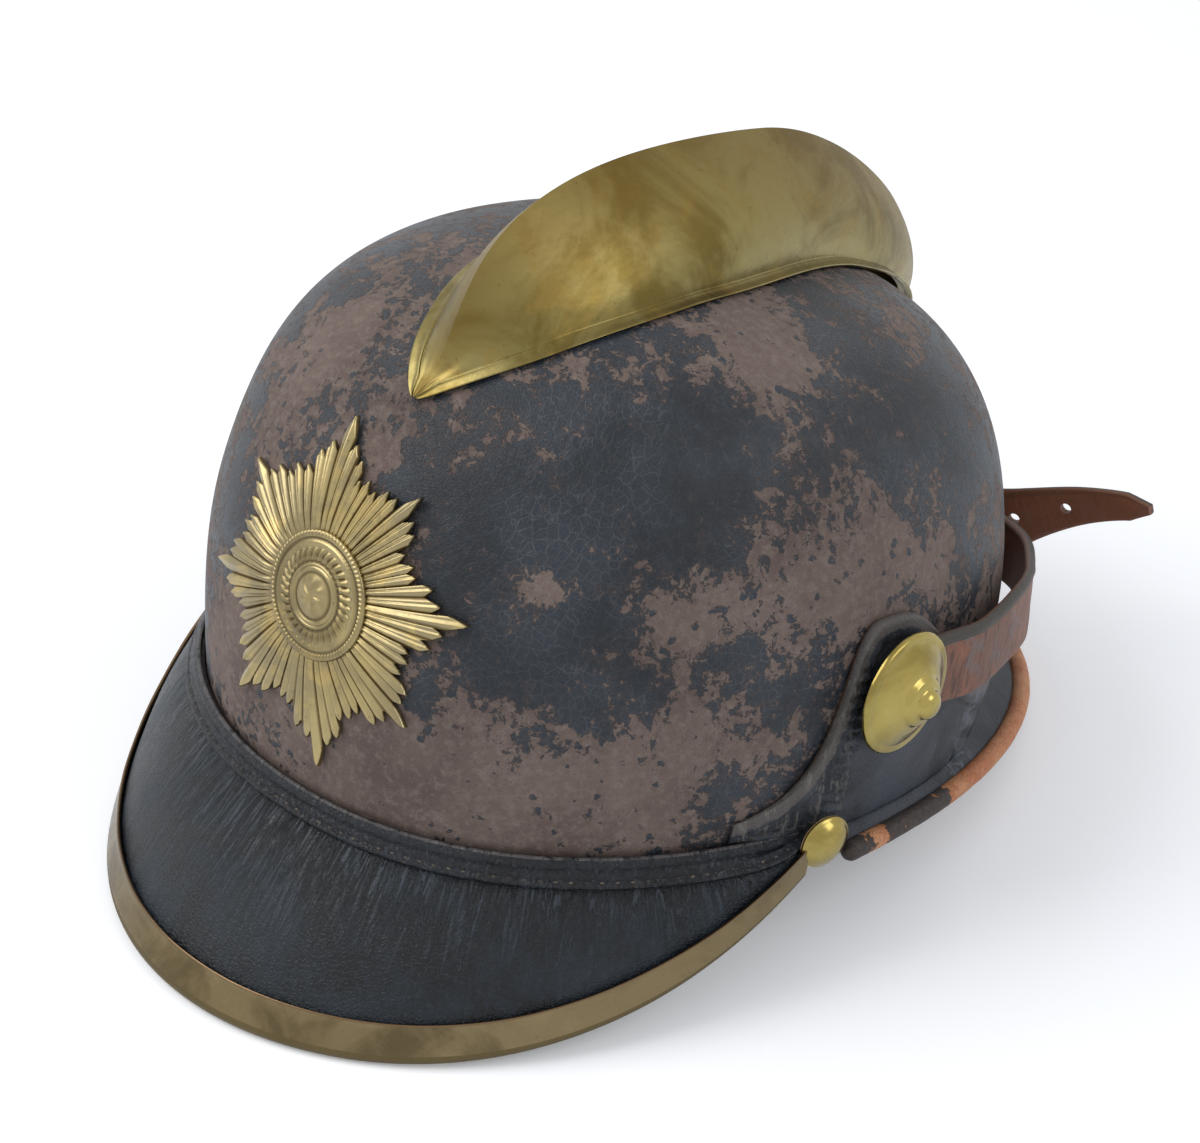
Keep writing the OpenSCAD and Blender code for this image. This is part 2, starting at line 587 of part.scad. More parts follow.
module star_places() {
    for (a = [star_turn, star_turn + 180]) on_dome(star_pt(star_valley_r * 0.68, a, 0)) children();
}
module star_studs() { color(brass) star_places() stud(star_stud_r); }
module star_nuts() { color(brass) star_places() nut(star_stud_r, 0); }

// Rosettes on screw posts, the pivots of the chin strap
lobe_x = max([for (a = [0:30:330]) side_x(rosette_y + strap_w / 2 * cos(a),
    rosette_z + strap_w / 2 * sin(a), gap + guard_t)]);
strap_x = lobe_x + gap + strap_t / 2;
rosette_x = strap_x + strap_t / 2 + gap;
post_in_x = side_min(rosette_y, rosette_z, -skull_t, washer_k * post_r) - 0.4;
hub_h = 0.71 * rosette_h;
module rosette_bores() {
    both_sides() x_rod(post_in_x - 10, rosette_x + 1, rosette_y, rosette_z, post_r + post_play);
}
module rosette_left() {
    r = rosette_r;
    h = rosette_h;
    rim = [[r, 0], [r, 0.8], [r - 0.6, 1.4], [r - 2.4, 1.5], [r - 3.2, 2.2]];
    crown = [[0.67 * r, 0.34 * h], [0.56 * r, 0.44 * h], [0.45 * r, 0.53 * h], [0.37 * r, 0.69 * h],
        [0.28 * r, 0.73 * h], [0.25 * r, 0.84 * h], [0.17 * r, 0.96 * h], [0, h]];
    skin = concat(rim, crown);
    hollow = [for (p = skin) [max(0, p.x - rosette_t), max(0, p.y - rosette_t)]];
    color(brass) translate([rosette_x, rosette_y, rosette_z]) rotate([0, 90, 0]) difference() {
        union() {
            rotate_extrude() difference() {
                polygon(concat([[0, 0]], skin));
                polygon(concat([[0, -1], [r - rosette_t, -1]], hollow));
            }
            cylinder(r = 2 * post_r, h = hub_h);
        }
        translate([0, 0, -1]) cylinder(r = post_r + post_play, h = hub_h + 2);
    }
}
module rosette_right() { mirror([1, 0, 0]) rosette_left(); }
module rosette_posts() {
    color(brass) both_sides() x_rod(post_in_x - 5.5, rosette_x + hub_h - 1.3, rosette_y, rosette_z, post_r);
}
module rosette_washers() {
    color(brass) both_sides() difference() {
        x_rod(post_in_x - washer_t, post_in_x, rosette_y, rosette_z, washer_k * post_r);
        rosette_bores();
    }
}
module rosette_nuts() {
    color(brass) both_sides() difference() {
        translate([post_in_x - washer_t - nut_t, rosette_y, rosette_z]) rotate([0, 90, 0])
            cylinder(r = nut_k * post_r, h = nut_t, $fn = 6);
        rosette_bores();
    }
}

// Chin strap: two halves that hang from the rosettes and meet in a buckle behind the skull
rear_y = skull_y + reach([0, skull_y, strap_rear_z], [0, 1, 0], 0) + strap_off + strap_t / 2;
bar_play = 0.15;
bar_y = rear_y - strap_t / 2 - bar_play - buckle_wire_r;
billet_y = rear_y + strap_t + gap;
front_bar_y = billet_y + strap_t / 2 + gap + buckle_wire_r;
strap_side_a = 42;
function strap_z(f) = mix(rosette_z - strap_drop * smooth(f / 24), strap_rear_z, smooth((f - 20) / 55));
function strap_on_side(f) = let (o = [0, rosette_y, strap_z(f)], d = [cos(f), sin(f), 0])
    o + reach(o, d, strap_stand) * d;
// Middle line of the strap's left half: straight past the rosette, then round the skull's side and
// into the straight stretch at the place y
function strap_line(y) = let (p = strap_on_side(strap_side_a),
    d = unit(p - strap_on_side(strap_side_a - 1)), q = [strap_flat, y, strap_rear_z])
    concat([for (k = [0, 8, 16]) [strap_x, rosette_y + k, rosette_z - k / 10]],
    [for (f = [14:4:strap_side_a]) strap_on_side(f)],
    [for (i = [1:10]) bezier3(p, p + 20 * d, q + [28, 0, 2], q, i / 10)]);
function tail_arc(t) = let (z = strap_rear_z, y = billet_y, x = strap_flat)
    bezier3([x, y, z], [x + 15, y, z], [tail_reach - 29, y + tail_y, z + tail_rise - 2],
        [tail_reach, y + tail_y - 1, z + tail_rise], t);
function tail_w(t) = t > 0.93 ? mix(1.15 * tip_w, 0.4 * tip_w, (t - 0.93) / 0.07)
    : mix(strap_w, 1.15 * tip_w, pow(clamp01((t - 0.3) / 0.63), 1.3));
// Solid strip along the points p with the widths w; side is 1 for the left half, -1 for the right
module strip(p, w, side) {
    n = len(p);
    corners = side > 0 ? [[-1, -1], [1, -1], [1, 1], [-1, 1]] : [[-1, -1], [-1, 1], [1, 1], [1, -1]];
    swept([for (i = [0:n - 1]) let (t = unit(p[min(n - 1, i + 1)] - p[max(0, i - 1)]),
        out = side * unit([t.y, -t.x, 0]), up = side * cross(out, t))
        [for (c = corners) p[i] + c.x * w[i] / 2 * up + c.y * strap_t / 2 * out]]);
}
module strap_eye() {
    x_rod(strap_x - strap_t / 2, strap_x + strap_t / 2, rosette_y, rosette_z, strap_w / 2);
}
module strap_left() {
    line = concat(strap_line(rear_y), [[1, rear_y, strap_rear_z]]);
    fold_r = buckle_wire_r + bar_play + strap_t;
    color(brown) difference() {
        union() {
            strap_eye();
            strip(line, [for (p = line) strap_w], 1);
            translate([0, bar_y, strap_rear_z]) {
                cylinder(r = fold_r - 0.05, h = strap_w, center = true);
                translate([0, -fold_r + 0.05, -strap_w / 2]) cube([11, fold_r + 0.5, strap_w]);
            }
        }
        rosette_bores();
        translate([0, bar_y, strap_rear_z]) {
            cylinder(r = buckle_wire_r + bar_play, h = strap_w + 2, center = true);
            translate([-fold_r - 1, -fold_r - 1, -prong_r - 0.6])
                cube([fold_r + buckle_wire_r + prong_r + 1.4, 2 * fold_r + 2, 2 * prong_r + 1.2]);
        }
    }
}
module strap_right() {
    rear = strap_line(billet_y);
    line = concat([for (p = rear) [-p.x, p.y, p.z]], [for (i = [0:12]) tail_arc(i / 12)]);
    widths = concat([for (p = rear) strap_w], [for (i = [0:12]) tail_w(i / 12)]);
    color(brown) difference() {
        union() {
            mirror([1, 0, 0]) strap_eye();
            strip(line, widths, -1);
        }
        rosette_bores();
        translate([0, billet_y, strap_rear_z]) rotate([90, 0, 0]) {
            for (x = slot_x) translate([x, 0, 0]) cylinder(r = slot_r, h = 9, center = true);
            translate([slot_x[0], -slot_r, -4.5]) cube([slot_x[1] - slot_x[0], 2 * slot_r, 9]);
        }
        for (t = [0.35, 0.64]) let (p = tail_arc(t), d = tail_arc(t + 0.01) - p) translate(p)
            rotate([90, 0, atan2(d.y, d.x)]) cylinder(r = hole_r, h = 9, center = true);
    }
}

// Buckle: a wire frame on the bar in the left half's fold, a prong and a keeper loop
rail = [-buckle_len, front_bar_y - bar_y, 0];
prong_a = atan2(rail.y, buckle_len) + asin((buckle_wire_r + gap + prong_r) / norm(rail));
slot_r = prong_r + 0.35;
slot_x = [-(billet_y - bar_y) / tan(prong_a) - 2.4, -(billet_y - bar_y) / tan(prong_a) + 3.4];
rail_z = strap_w / 2 + 0.5 + buckle_wire_r;
module buckle_frame() {
    color(brass) translate([0, bar_y, strap_rear_z]) for (k = [0, 1]) {
        translate(k * rail) cylinder(r = buckle_wire_r, h = 2 * rail_z + 3 * buckle_wire_r, center = true);
        translate([0, 0, (2 * k - 1) * rail_z]) rotate([0, -90, -atan2(rail.y, -rail.x)])
            cylinder(r = 0.85 * buckle_wire_r, h = norm(rail));
    }
}
module buckle_prong() {
    color(brass) translate([0, bar_y, strap_rear_z]) difference() {
        union() {
            cylinder(r = buckle_wire_r + prong_r, h = 2 * prong_r, center = true);
            rotate([0, -90, -prong_a]) {
                cylinder(r = prong_r, h = buckle_len / cos(prong_a) + 1.5);
                translate([0, 0, buckle_len / cos(prong_a) + 1.5]) sphere(r = prong_r);
            }
        }
        cylinder(r = buckle_wire_r + prong_play, h = 9, center = true);
    }
}
module strap_keeper() {
    inner = [keeper_w + 2, 2 * strap_t + 3 * gap, strap_w + 2 * gap];
    outer = [keeper_w, inner.y + 2 * keeper_t, inner.z + 2 * keeper_t];
    color(brown) translate([keeper_x, (rear_y + billet_y) / 2, strap_rear_z]) difference() {
        cube(outer, center = true);
        cube(inner, center = true);
    }
}

// Lining: a sweatband inside the rim, tongues that rise to the crown and their drawstring
band_off = -skull_t - band_gap;
liner_off = -skull_t - liner_gap;
module sweatband() {
    function rows(off) = [for (i = [0:47]) [for (up = [0, 0.5, 1])
        on_seam(i * 7.5, mix(-rim_drop + 2, band_h - rim_drop + 2, up), off)]];
    color(tan) slab(rows(band_off), rows(band_off - band_t), loop = true);
}
ring_h = pow(1 - pow(cord_ring_r / (skull_half_w + liner_off), dome_e), 1 / dome_e);
function tongue_off(v) = mix(band_off - band_t - gap, liner_off, smooth(v / 0.05));
function tongue_pt(k, u, v, d) = let (half = 180 / tongue_n, off = tongue_off(v) - d,
    a = 2 * half * k + u * (half - 1.2) * (1 - 0.5 * pow(v, 5)),
    h0 = h_seam(a, band_h - rim_drop - 4, off)) skull_pt(a, mix(ring_h, h0, pow(1 - v, 1.6)), off);
module crown_lining() {
    function tongue(k, d) = [for (i = [0:4]) [for (v = [0, 0.05, 0.14, 0.28, 0.42, 0.56, 0.7, 0.84, 0.98])
        tongue_pt(k, i / 2 - 1, v, d)]];
    color(tan) for (k = [0:tongue_n - 1]) slab(tongue(k, 0), tongue(k, liner_t));
}
module lining_cord() {
    off = liner_off - liner_t - gap - cord_r;
    function ring_pt(a) = skull_pt(a, ring_h - 0.01, off);
    rings = [for (i = [0:39]) let (a = 9 * i, t = unit(ring_pt(a + 1) - ring_pt(a - 1)),
        u = unit(cross([0, 0, 1], t))) round_ring(ring_pt(a), u, cross(t, u), cord_r, 8)];
    color(brown) swept(rings, loop = true);
}

skull();
front_visor();
visor_welt();
visor_trim();
trim_rivets();
rivet_burrs();
neck_guard();
neck_guard_edge();
comb();
comb_studs();
comb_washers();
comb_nuts();
star_plate();
star_medallion();
star_studs();
star_nuts();
rosette_left();
rosette_right();
rosette_posts();
rosette_washers();
rosette_nuts();
strap_left();
strap_right();
buckle_frame();
buckle_prong();
strap_keeper();
sweatband();
crown_lining();
lining_cord();
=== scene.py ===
"""Leather fire helmet with a brass comb, star, rosettes and visor trim: the dressed model.

All lengths in this file are millimetres in the helmet's own frame (front -Y, wearer's left +X,
table at z = 0), unless a name or docstring says metres. A mesh is put into Blender in metres.
"""

import logging
import math
from dataclasses import dataclass, field
from enum import Enum
from typing import Any, Callable, Optional, Sequence

import bpy
import numpy as np
from mathutils import Matrix


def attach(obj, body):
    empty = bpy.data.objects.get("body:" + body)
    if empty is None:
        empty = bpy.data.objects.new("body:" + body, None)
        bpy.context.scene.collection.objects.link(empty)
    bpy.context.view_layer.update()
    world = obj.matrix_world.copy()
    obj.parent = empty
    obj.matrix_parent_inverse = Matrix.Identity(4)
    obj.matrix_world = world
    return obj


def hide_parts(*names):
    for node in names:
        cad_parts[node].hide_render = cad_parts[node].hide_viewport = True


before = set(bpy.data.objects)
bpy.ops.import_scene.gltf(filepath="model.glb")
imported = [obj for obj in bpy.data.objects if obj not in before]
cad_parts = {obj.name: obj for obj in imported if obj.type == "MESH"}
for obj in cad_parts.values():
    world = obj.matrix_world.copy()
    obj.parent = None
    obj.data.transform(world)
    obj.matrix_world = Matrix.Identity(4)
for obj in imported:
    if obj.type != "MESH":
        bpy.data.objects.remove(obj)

LOG = logging.getLogger("helmet")
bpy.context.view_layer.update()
Array = np.ndarray
Socket = bpy.types.NodeSocket
Material = bpy.types.Material
Colour = tuple[float, float, float, float]


class Body(str, Enum):
    """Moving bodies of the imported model."""

    HELMET = "helmet"
    STRAP = "chin_strap"
    KEEPER = "keeper"


class Slot(str, Enum):
    """Material slots of the record."""

    SKULL = "skull_leather"
    VISOR = "visor_leather"
    GUARD = "guard_leather"
    EDGE = "edge_leather"
    STRAP = "strap_leather"
    LINING = "lining_leather"
    CORD = "cord_cotton"
    COMB = "comb_brass"
    TRIM = "trim_brass"
    STAR = "star_gilt"
    BRIGHT = "bright_brass"


# Small mathematics


def unit(v: Array) -> Array:
    """Directions of length one along the last axis."""
    return v / np.maximum(np.linalg.norm(v, axis=-1, keepdims=True), 1e-12)


def mix(a: Any, b: Any, t: Any) -> Any:
    """Straight blend a(1 - t) + b t."""
    return a * (1 - t) + b * t


def smooth(t: Any) -> Any:
    """Soft step 3t^2 - 2t^3 with t held between 0 and 1."""
    c = np.clip(t, 0.0, 1.0)
    return c * c * (3 - 2 * c)


def power(v: Any, e: float) -> Any:
    """|v|^e with the sign of v."""
    return np.sign(v) * np.abs(v) ** e


def cosd(a: Any) -> Any:
    """Cosine of an angle in degrees."""
    return np.cos(np.radians(a))


def sind(a: Any) -> Any:
    """Sine of an angle in degrees."""
    return np.sin(np.radians(a))


def vec(x: Any, y: Any, z: Any) -> Array:
    """Points from three coordinates that broadcast together."""
    return np.stack(np.broadcast_arrays(np.asarray(x, float), y, z), -1)


def bezier(points: Sequence[Array], t: Array) -> Array:
    """Curve through the control points' hull, by repeated straight blends at t."""
    level = list(points)
    t = np.asarray(t)[..., None]
    while len(level) > 1:
        level = [mix(a, b, t) for a, b in zip(level, level[1:])]
    return level[0]


def through(points: Array, sub: int) -> Array:
    """Smooth curve through points along the second last axis.

    Between p1 and p2 it is the Catmull-Rom cubic
    p1 + t(p2 - p0)/2 + t^2(p0 - 5p1/2 + 2p2 - p3/2) + t^3(-p0 + 3p1 - 3p2 + p3)/2.

    Args:
        points: array (..., n, 3).
        sub: number of steps between two given points.

    Returns:
        Array (..., (n - 1) * sub + 1, 3).
    """
    n = points.shape[-2]
    first = 2 * points[..., :1, :] - points[..., 1:2, :]
    last = 2 * points[..., -1:, :] - points[..., -2:-1, :]
    p = np.concatenate([first, points, last], -2)
    p0, p1, p2, p3 = (p[..., k:k + n - 1, :][..., :, None, :] for k in range(4))
    t = (np.arange(sub) / sub)[:, None]
    body = (p1 + t * (p2 - p0) / 2 + t ** 2 * (p0 - 2.5 * p1 + 2 * p2 - 0.5 * p3)
            + t ** 3 * (3 * p1 - p0 - 3 * p2 + p3) / 2)
    body = body.reshape(*points.shape[:-2], (n - 1) * sub, points.shape[-1])
    return np.concatenate([body, points[..., -1:, :]], -2)


def ripple(a: Array, b: Array, seed: float) -> Array:
    """Slow unevenness between -1 and 1: a mean of sines of a, b and their sum."""
    return (np.sin(a * 1.31 + seed) * np.sin(b * 1.73 + 2 * seed)
            + np.sin(a * 2.9 + b * 1.1 + 3 * seed) + np.sin(a * 0.7 - b * 2.3 + seed)) / 3


# Meshes from grids


@dataclass
class Skin:
    """Points in millimetres, faces of any size and one number per point in each layer."""

    points: Array
    faces: list[list[int]]
    layers: dict[str, Array] = field(default_factory=dict)

    def moved(self, move: Callable[[Array], Array]) -> "Skin":
        """The same skin with its points sent through a function."""
        return Skin(move(self.points), self.faces, self.layers)

    def outward(self) -> "Skin":
        """The same closed skin with its faces turned outwards.

        The sum of p0 . (p1 x p2) / 6 over the triangles is the volume; if it is negative, every
        face is turned round.
        """
        tri = np.array([(f[0], f[k], f[k + 1]) for f in self.faces for k in range(1, len(f) - 1)])
        p = self.points - self.points.mean(0)
        volume = np.einsum("ij,ij->i", p[tri[:, 0]], np.cross(p[tri[:, 1]], p[tri[:, 2]])).sum()
        faces = self.faces if volume > 0 else [f[::-1] for f in self.faces]
        return Skin(self.points, faces, self.layers)


def join(skins: Sequence[Skin]) -> Skin:
    """One skin from several, each with its faces outwards first."""
    skins = [s.outward() for s in skins]
    names = {n for s in skins for n in s.layers}
    points, faces, start = [], [], 0
    layers = {n: np.concatenate([s.layers.get(n, np.zeros(len(s.points))) for s in skins]) for n in names}
    for s in skins:
        points.append(s.points)
        faces.extend([[i + start for i in f] for f in s.faces])
        start += len(s.points)
    return Skin(np.concatenate(points), faces, layers)


def quads(n: int, m: int, loop_n: bool = False, loop_m: bool = False) -> list[list[int]]:
    """Faces of an n by m grid of points, closed along either side on request."""
    i, j = np.meshgrid(np.arange(n if loop_n else n - 1), np.arange(m if loop_m else m - 1), indexing="ij")
    i1, j1 = (i + 1) % n, (j + 1) % m
    return np.stack([i * m + j, i1 * m + j, i1 * m + j1, i * m + j1], -1).reshape(-1, 4).tolist()


def cap_over(a: Array, b: Array, away: Array, share: float, steps: int) -> Array:
    """Rounded border between the edges a and b: mid + half cos(phi) + away r share sin(phi)."""
    mid, half = (a + b) / 2, (a - b) / 2
    r = np.linalg.norm(half, axis=-1, keepdims=True) * share
    phi = np.linspace(0, np.pi, steps + 2)[1:-1, None]
    return mid[:, None] + half[:, None] * np.cos(phi) + (away * r)[:, None] * np.sin(phi)


def wall(outer: Array, inner: Array, loop: bool = False, layers: Optional[dict[str, Array]] = None,
         share: float = 0.7, steps: int = 3, poles: Optional[tuple[Array, Array]] = None) -> Skin:
    """Closed wall of leather or sheet between two grids, with rounded borders.

    The section at i runs outer[i, 0..m-1], over the top border, back down inner[i, m-1..0] and
    over the low border. The borders draw back first, so that the rounding ends where they were.

    Args:
        outer: grid (n, m, 3) of the face side.
        inner: grid (n, m, 3) of the back.
        loop: whether the last column meets the first.
        layers: grids (n, m) of numbers, kept for the materials.
        share: rounding as a share of half the thickness.
        steps: points across a rounded border.
        poles: crown points of the outer and inner side, which close a bowl instead of its top border.

    Returns:
        The closed skin; its layer "inside" runs from 0 on the face side to 1 on the back.
    """
    n, m, _ = outer.shape
    outer, inner = outer.copy(), inner.copy()

    def draw_back(j: int, k: int) -> Array:
        """Draws edge j back towards k by the rounding, and gives the way outwards."""
        away = unit(outer[:, j] - outer[:, k])
        room = np.linalg.norm(outer[:, j] - outer[:, k], axis=-1, keepdims=True) * 0.6
        r = np.minimum(np.linalg.norm(outer[:, j] - inner[:, j], axis=-1, keepdims=True) / 2 * share, room)
        outer[:, j] -= away * r
        inner[:, j] -= away * r
        return away

    low = draw_back(0, 1)
    low_cap = cap_over(inner[:, 0], outer[:, 0], low, share, steps)
    up, down = np.arange(m), np.arange(m)[::-1]
    faces: list[list[int]]
    if poles is None:
        top = draw_back(-1, -2)
        top_cap = cap_over(outer[:, -1], inner[:, -1], top, share, steps)
        ring = np.concatenate([outer, top_cap, inner[:, ::-1], low_cap], 1)
        source = np.r_[up, [m - 1] * steps, down, [0] * steps]
        inside = np.r_[up * 0.0, np.linspace(0, 1, steps), down * 0.0 + 1, np.linspace(1, 0, steps)]
    else:
        ring = np.concatenate([inner[:, ::-1], low_cap, outer], 1)
        source = np.r_[down, [0] * steps, up]
        inside = np.r_[down * 0.0 + 1, np.linspace(1, 0, steps), up * 0.0]
    k = ring.shape[1]
    points = ring.reshape(-1, 3)
    faces = quads(n, k, loop, poles is None)
    grids = {key: np.asarray(g)[:, source].reshape(-1) for key, g in (layers or {}).items()}
    grids["inside"] = np.tile(inside, n)
    if poles is not None:
        start = len(points)
        points = np.concatenate([points, poles[1][None], poles[0][None]])
        turn = (np.arange(n) + 1) % n
        faces += [[start, int(t) * k, int(i) * k] for i, t in enumerate(turn)]
        faces += [[start + 1, int(i) * k + k - 1, int(t) * k + k - 1] for i, t in enumerate(turn)]
        grids = {key: np.r_[g, g[0], g[k - 1]] for key, g in grids.items()}
    elif not loop:
        back = [m + steps + (m - 1 - j) for j in range(m)]
        flat = [[j, j + 1, back[j + 1], back[j]] for j in range(m - 1)]
        flat += [list(range(m - 1, m + steps + 1)), list(range(2 * m + steps - 1, k)) + [0]]
        faces += flat + [[(n - 1) * k + q for q in f[::-1]] for f in flat]
    return Skin(points, faces, grids)


def tube(path: Array, u: Array, v: Array, section: Array, loop: bool = False,
         layers: Optional[dict[str, Array]] = None) -> Skin:
    """Section carried along a path: point = path + section_u u + section_v v.

    Args:
        path: centre points (n, 3).
        u, v: directions across the path (n, 3).
        section: ring of k points (k, 2), or one ring per path point (n, k, 2).
        loop: whether the path closes on itself.
        layers: numbers per ring point (n, k) or per path point (n, 1).

    Returns:
        The closed skin, with flat ends where the path is open.
    """
    section = np.broadcast_to(section, (len(path),) + section.shape[-2:])
    ring = path[:, None] + section[..., :1] * u[:, None] + section[..., 1:] * v[:, None]
    n, k, _ = ring.shape
    faces = quads(n, k, loop, True)
    if not loop:
        faces += [list(range(k)), list(range((n - 1) * k, n * k))[::-1]]
    grids = {key: np.broadcast_to(g, (n, k)).reshape(-1) for key, g in (layers or {}).items()}
    return Skin(ring.reshape(-1, 3), faces, grids)


def circle(k: int, r: float = 1.0) -> Array:
    """Ring of k points (r cos, r sin)."""
    a = np.linspace(0, 2 * np.pi, k, endpoint=False)
    return np.stack([r * np.cos(a), r * np.sin(a)], -1)


def lathe(profile: Array, origin: Array, axis: Array, side: Array, n: int = 96,
          relief: Optional[Callable[[Array, Array], Array]] = None) -> Skin:
    """Turned piece: a profile (radius, height) spun about an axis, both ends on the axis.

    Args:
        profile: points (m, 2); the first and last lie on the axis.
        origin: point of the axis at height 0.
        axis: direction of the axis.
        side: direction at right angles to it, where the angle starts.
        n: number of columns.
        relief: extra height as a function of the angle (n, 1) in radians and the radius (1, m).

    Returns:
        The closed skin; its layer "edge" is each point's share of the greatest radius.
    """
    body = profile[1:-1]
    t = np.linspace(0, 2 * np.pi, n, endpoint=False)[:, None]
    r, h = body[None, :, 0], np.broadcast_to(body[None, :, 1], (n, len(body)))
    if relief is not None:
        h = h + relief(t, r)
    across = np.cross(axis, side)
    points = (origin + (r * np.cos(t))[..., None] * side + (r * np.sin(t))[..., None] * across
              + h[..., None] * axis)
    m, start = len(body), n * len(body)
    poles = origin + profile[[0, -1], 1][:, None] * axis
    faces = quads(n, m, True, False)
    faces += [[start, (i + 1) % n * m, i * m] for i in range(n)]
    faces += [[start + 1, i * m + m - 1, (i + 1) % n * m + m - 1] for i in range(n)]
    share = np.broadcast_to(r / profile[:, 0].max(), (n, m)).reshape(-1)
    height = np.broadcast_to(body[None, :, 1], (n, m)).reshape(-1)
    return Skin(np.concatenate([points.reshape(-1, 3), poles]), faces,
                {"edge": np.r_[share, 0, 0], "height": np.r_[height, profile[0, 1], profile[-1, 1]]})


def soft_profile(points: Sequence[tuple[float, float]], sub: int = 5, pull: float = 0.3) -> Array:
    """Profile with each inner corner p rounded by the curve p + pull(q - p) through its neighbours q."""
    p = np.array(points, float)
    t = np.linspace(0, 1, sub)[:, None]
    rows = [p[:1]]
    for a, b, c in zip(p, p[1:], p[2:]):
        k0, k2 = mix(b, a, pull), mix(b, c, pull)
        rows.append(mix(mix(k0, b, t), mix(b, k2, t), t))
    return np.concatenate(rows + [p[-1:]])


def stitches(at: Array, along: Array, out: Array, length: float, thick: float) -> Skin:
    """Row of thread stitches, one ellipsoid-like bead each.

    A stitch is three rings of six points, the middle one full size, sunk by a share of its thickness.

    Args:
        at: places (n, 3) on the surface.
        along: directions of the seam.
        out: directions off the surface.
        length: length of a stitch.
        thick: thickness of the thread.
    """
    sink = 0.35
    side = unit(np.cross(along, out))
    ring = circle(6, thick / 2)
    size, place = np.array([0.45, 1.0, 0.45]), np.array([-0.5, 0.0, 0.5]) * length
    bend = np.array([-0.5, 0.35, -0.5]) * thick
    one = np.concatenate([np.concatenate([np.full((6, 1), p), ring * s + [0, b]], 1)
                          for s, p, b in zip(size, place, bend)])
    faces = np.array(quads(3, 6, False, True))
    ends = np.array([[0, 1, 2, 3], [0, 3, 4, 5], [15, 14, 13, 12], [17, 16, 15, 12]])
    faces = np.concatenate([faces, ends])
    base = at - out * thick * sink
    points = (base[:, None] + one[None, :, :1] * along[:, None] + one[None, :, 1:2] * side[:, None]
              + one[None, :, 2:] * out[:, None])
    steps = (np.arange(len(at)) * 18)[:, None, None]
    return Skin(points.reshape(-1, 3), (faces[None] + steps).reshape(-1, 4).tolist())


def carve(skin: Skin, tools: Sequence[Skin]) -> Skin:
    """The skin with each closed tool cut out of it, by Blender's exact boolean."""
    piece = bpy.data.objects.new("carved", skin_mesh(skin.outward(), "carved"))
    bpy.context.scene.collection.objects.link(piece)
    helpers = []
    for k, tool in enumerate(tools):
        helper = bpy.data.objects.new(f"tool_{k}", skin_mesh(tool.outward(), f"tool_{k}"))
        bpy.context.scene.collection.objects.link(helper)
        cut = piece.modifiers.new(f"cut_{k}", "BOOLEAN")
        cut.operation, cut.solver, cut.object = "DIFFERENCE", "EXACT", helper
        helpers.append(helper)
    bpy.context.view_layer.update()
    mesh = bpy.data.meshes.new_from_object(piece.evaluated_get(bpy.context.evaluated_depsgraph_get()))
    points = np.empty(len(mesh.vertices) * 3)
    mesh.vertices.foreach_get("co", points)
    layers = {}
    for name in skin.layers:
        values = np.zeros(len(mesh.vertices))
        if name in mesh.attributes and len(mesh.attributes[name].data) == len(values):
            mesh.attributes[name].data.foreach_get("value", values)
        layers[name] = values
    faces = [list(p.vertices) for p in mesh.polygons]
    for o in [piece] + helpers:
        bpy.data.objects.remove(o)
    return Skin(points.reshape(-1, 3) * 1000, faces, layers)


def skin_mesh(skin: Skin, name: str) -> bpy.types.Mesh:
    """Blender mesh of a skin, in metres, with its layers as point attributes."""
    mesh = bpy.data.meshes.new(name)
    mesh.from_pydata((skin.points / 1000).tolist(), [], skin.faces)
    mesh.polygons.foreach_set("use_smooth", np.ones(len(mesh.polygons), bool))
    for key, values in skin.layers.items():
        layer = mesh.attributes.new(key, "FLOAT", "POINT")
        layer.data.foreach_set("value", np.asarray(values, np.float32))
    mesh.update()
    return mesh


def show(skin: Skin, name: str, body: Body, finish: Material,
         replaces: Sequence[str] = (), crease: float = 40.0) -> bpy.types.Object:
    """Puts a closed skin into the scene as a piece of the helmet.

    Args:
        skin: closed skin in millimetres.
        name: name of the object.
        body: CAD body that it rides on.
        finish: material.
        replaces: CAD nodes that it stands for.
        crease: angle in degrees above which an edge stays sharp.

    Returns:
        The object.
    """
    mesh = skin_mesh(skin.outward(), name)
    mesh.set_sharp_from_angle(angle=math.radians(crease))
    mesh.materials.append(finish)
    piece = bpy.data.objects.new(name, mesh)
    bpy.context.scene.collection.objects.link(piece)
    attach(piece, body.value)
    if replaces:
        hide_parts(*replaces)
    LOG.info("%s: %d faces on %s, finish %s", name, len(mesh.polygons), body.value, finish.name)
    return piece


def dress_node(node: str, finish: Material) -> None:
    """Gives a CAD node that stays in view its finish."""
    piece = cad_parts[node]
    if not piece.material_slots:
        piece.data.materials.append(finish)
    for place in piece.material_slots:
        place.material = finish
    LOG.info("%s: CAD node, finish %s", node, finish.name)


# The form of the skull


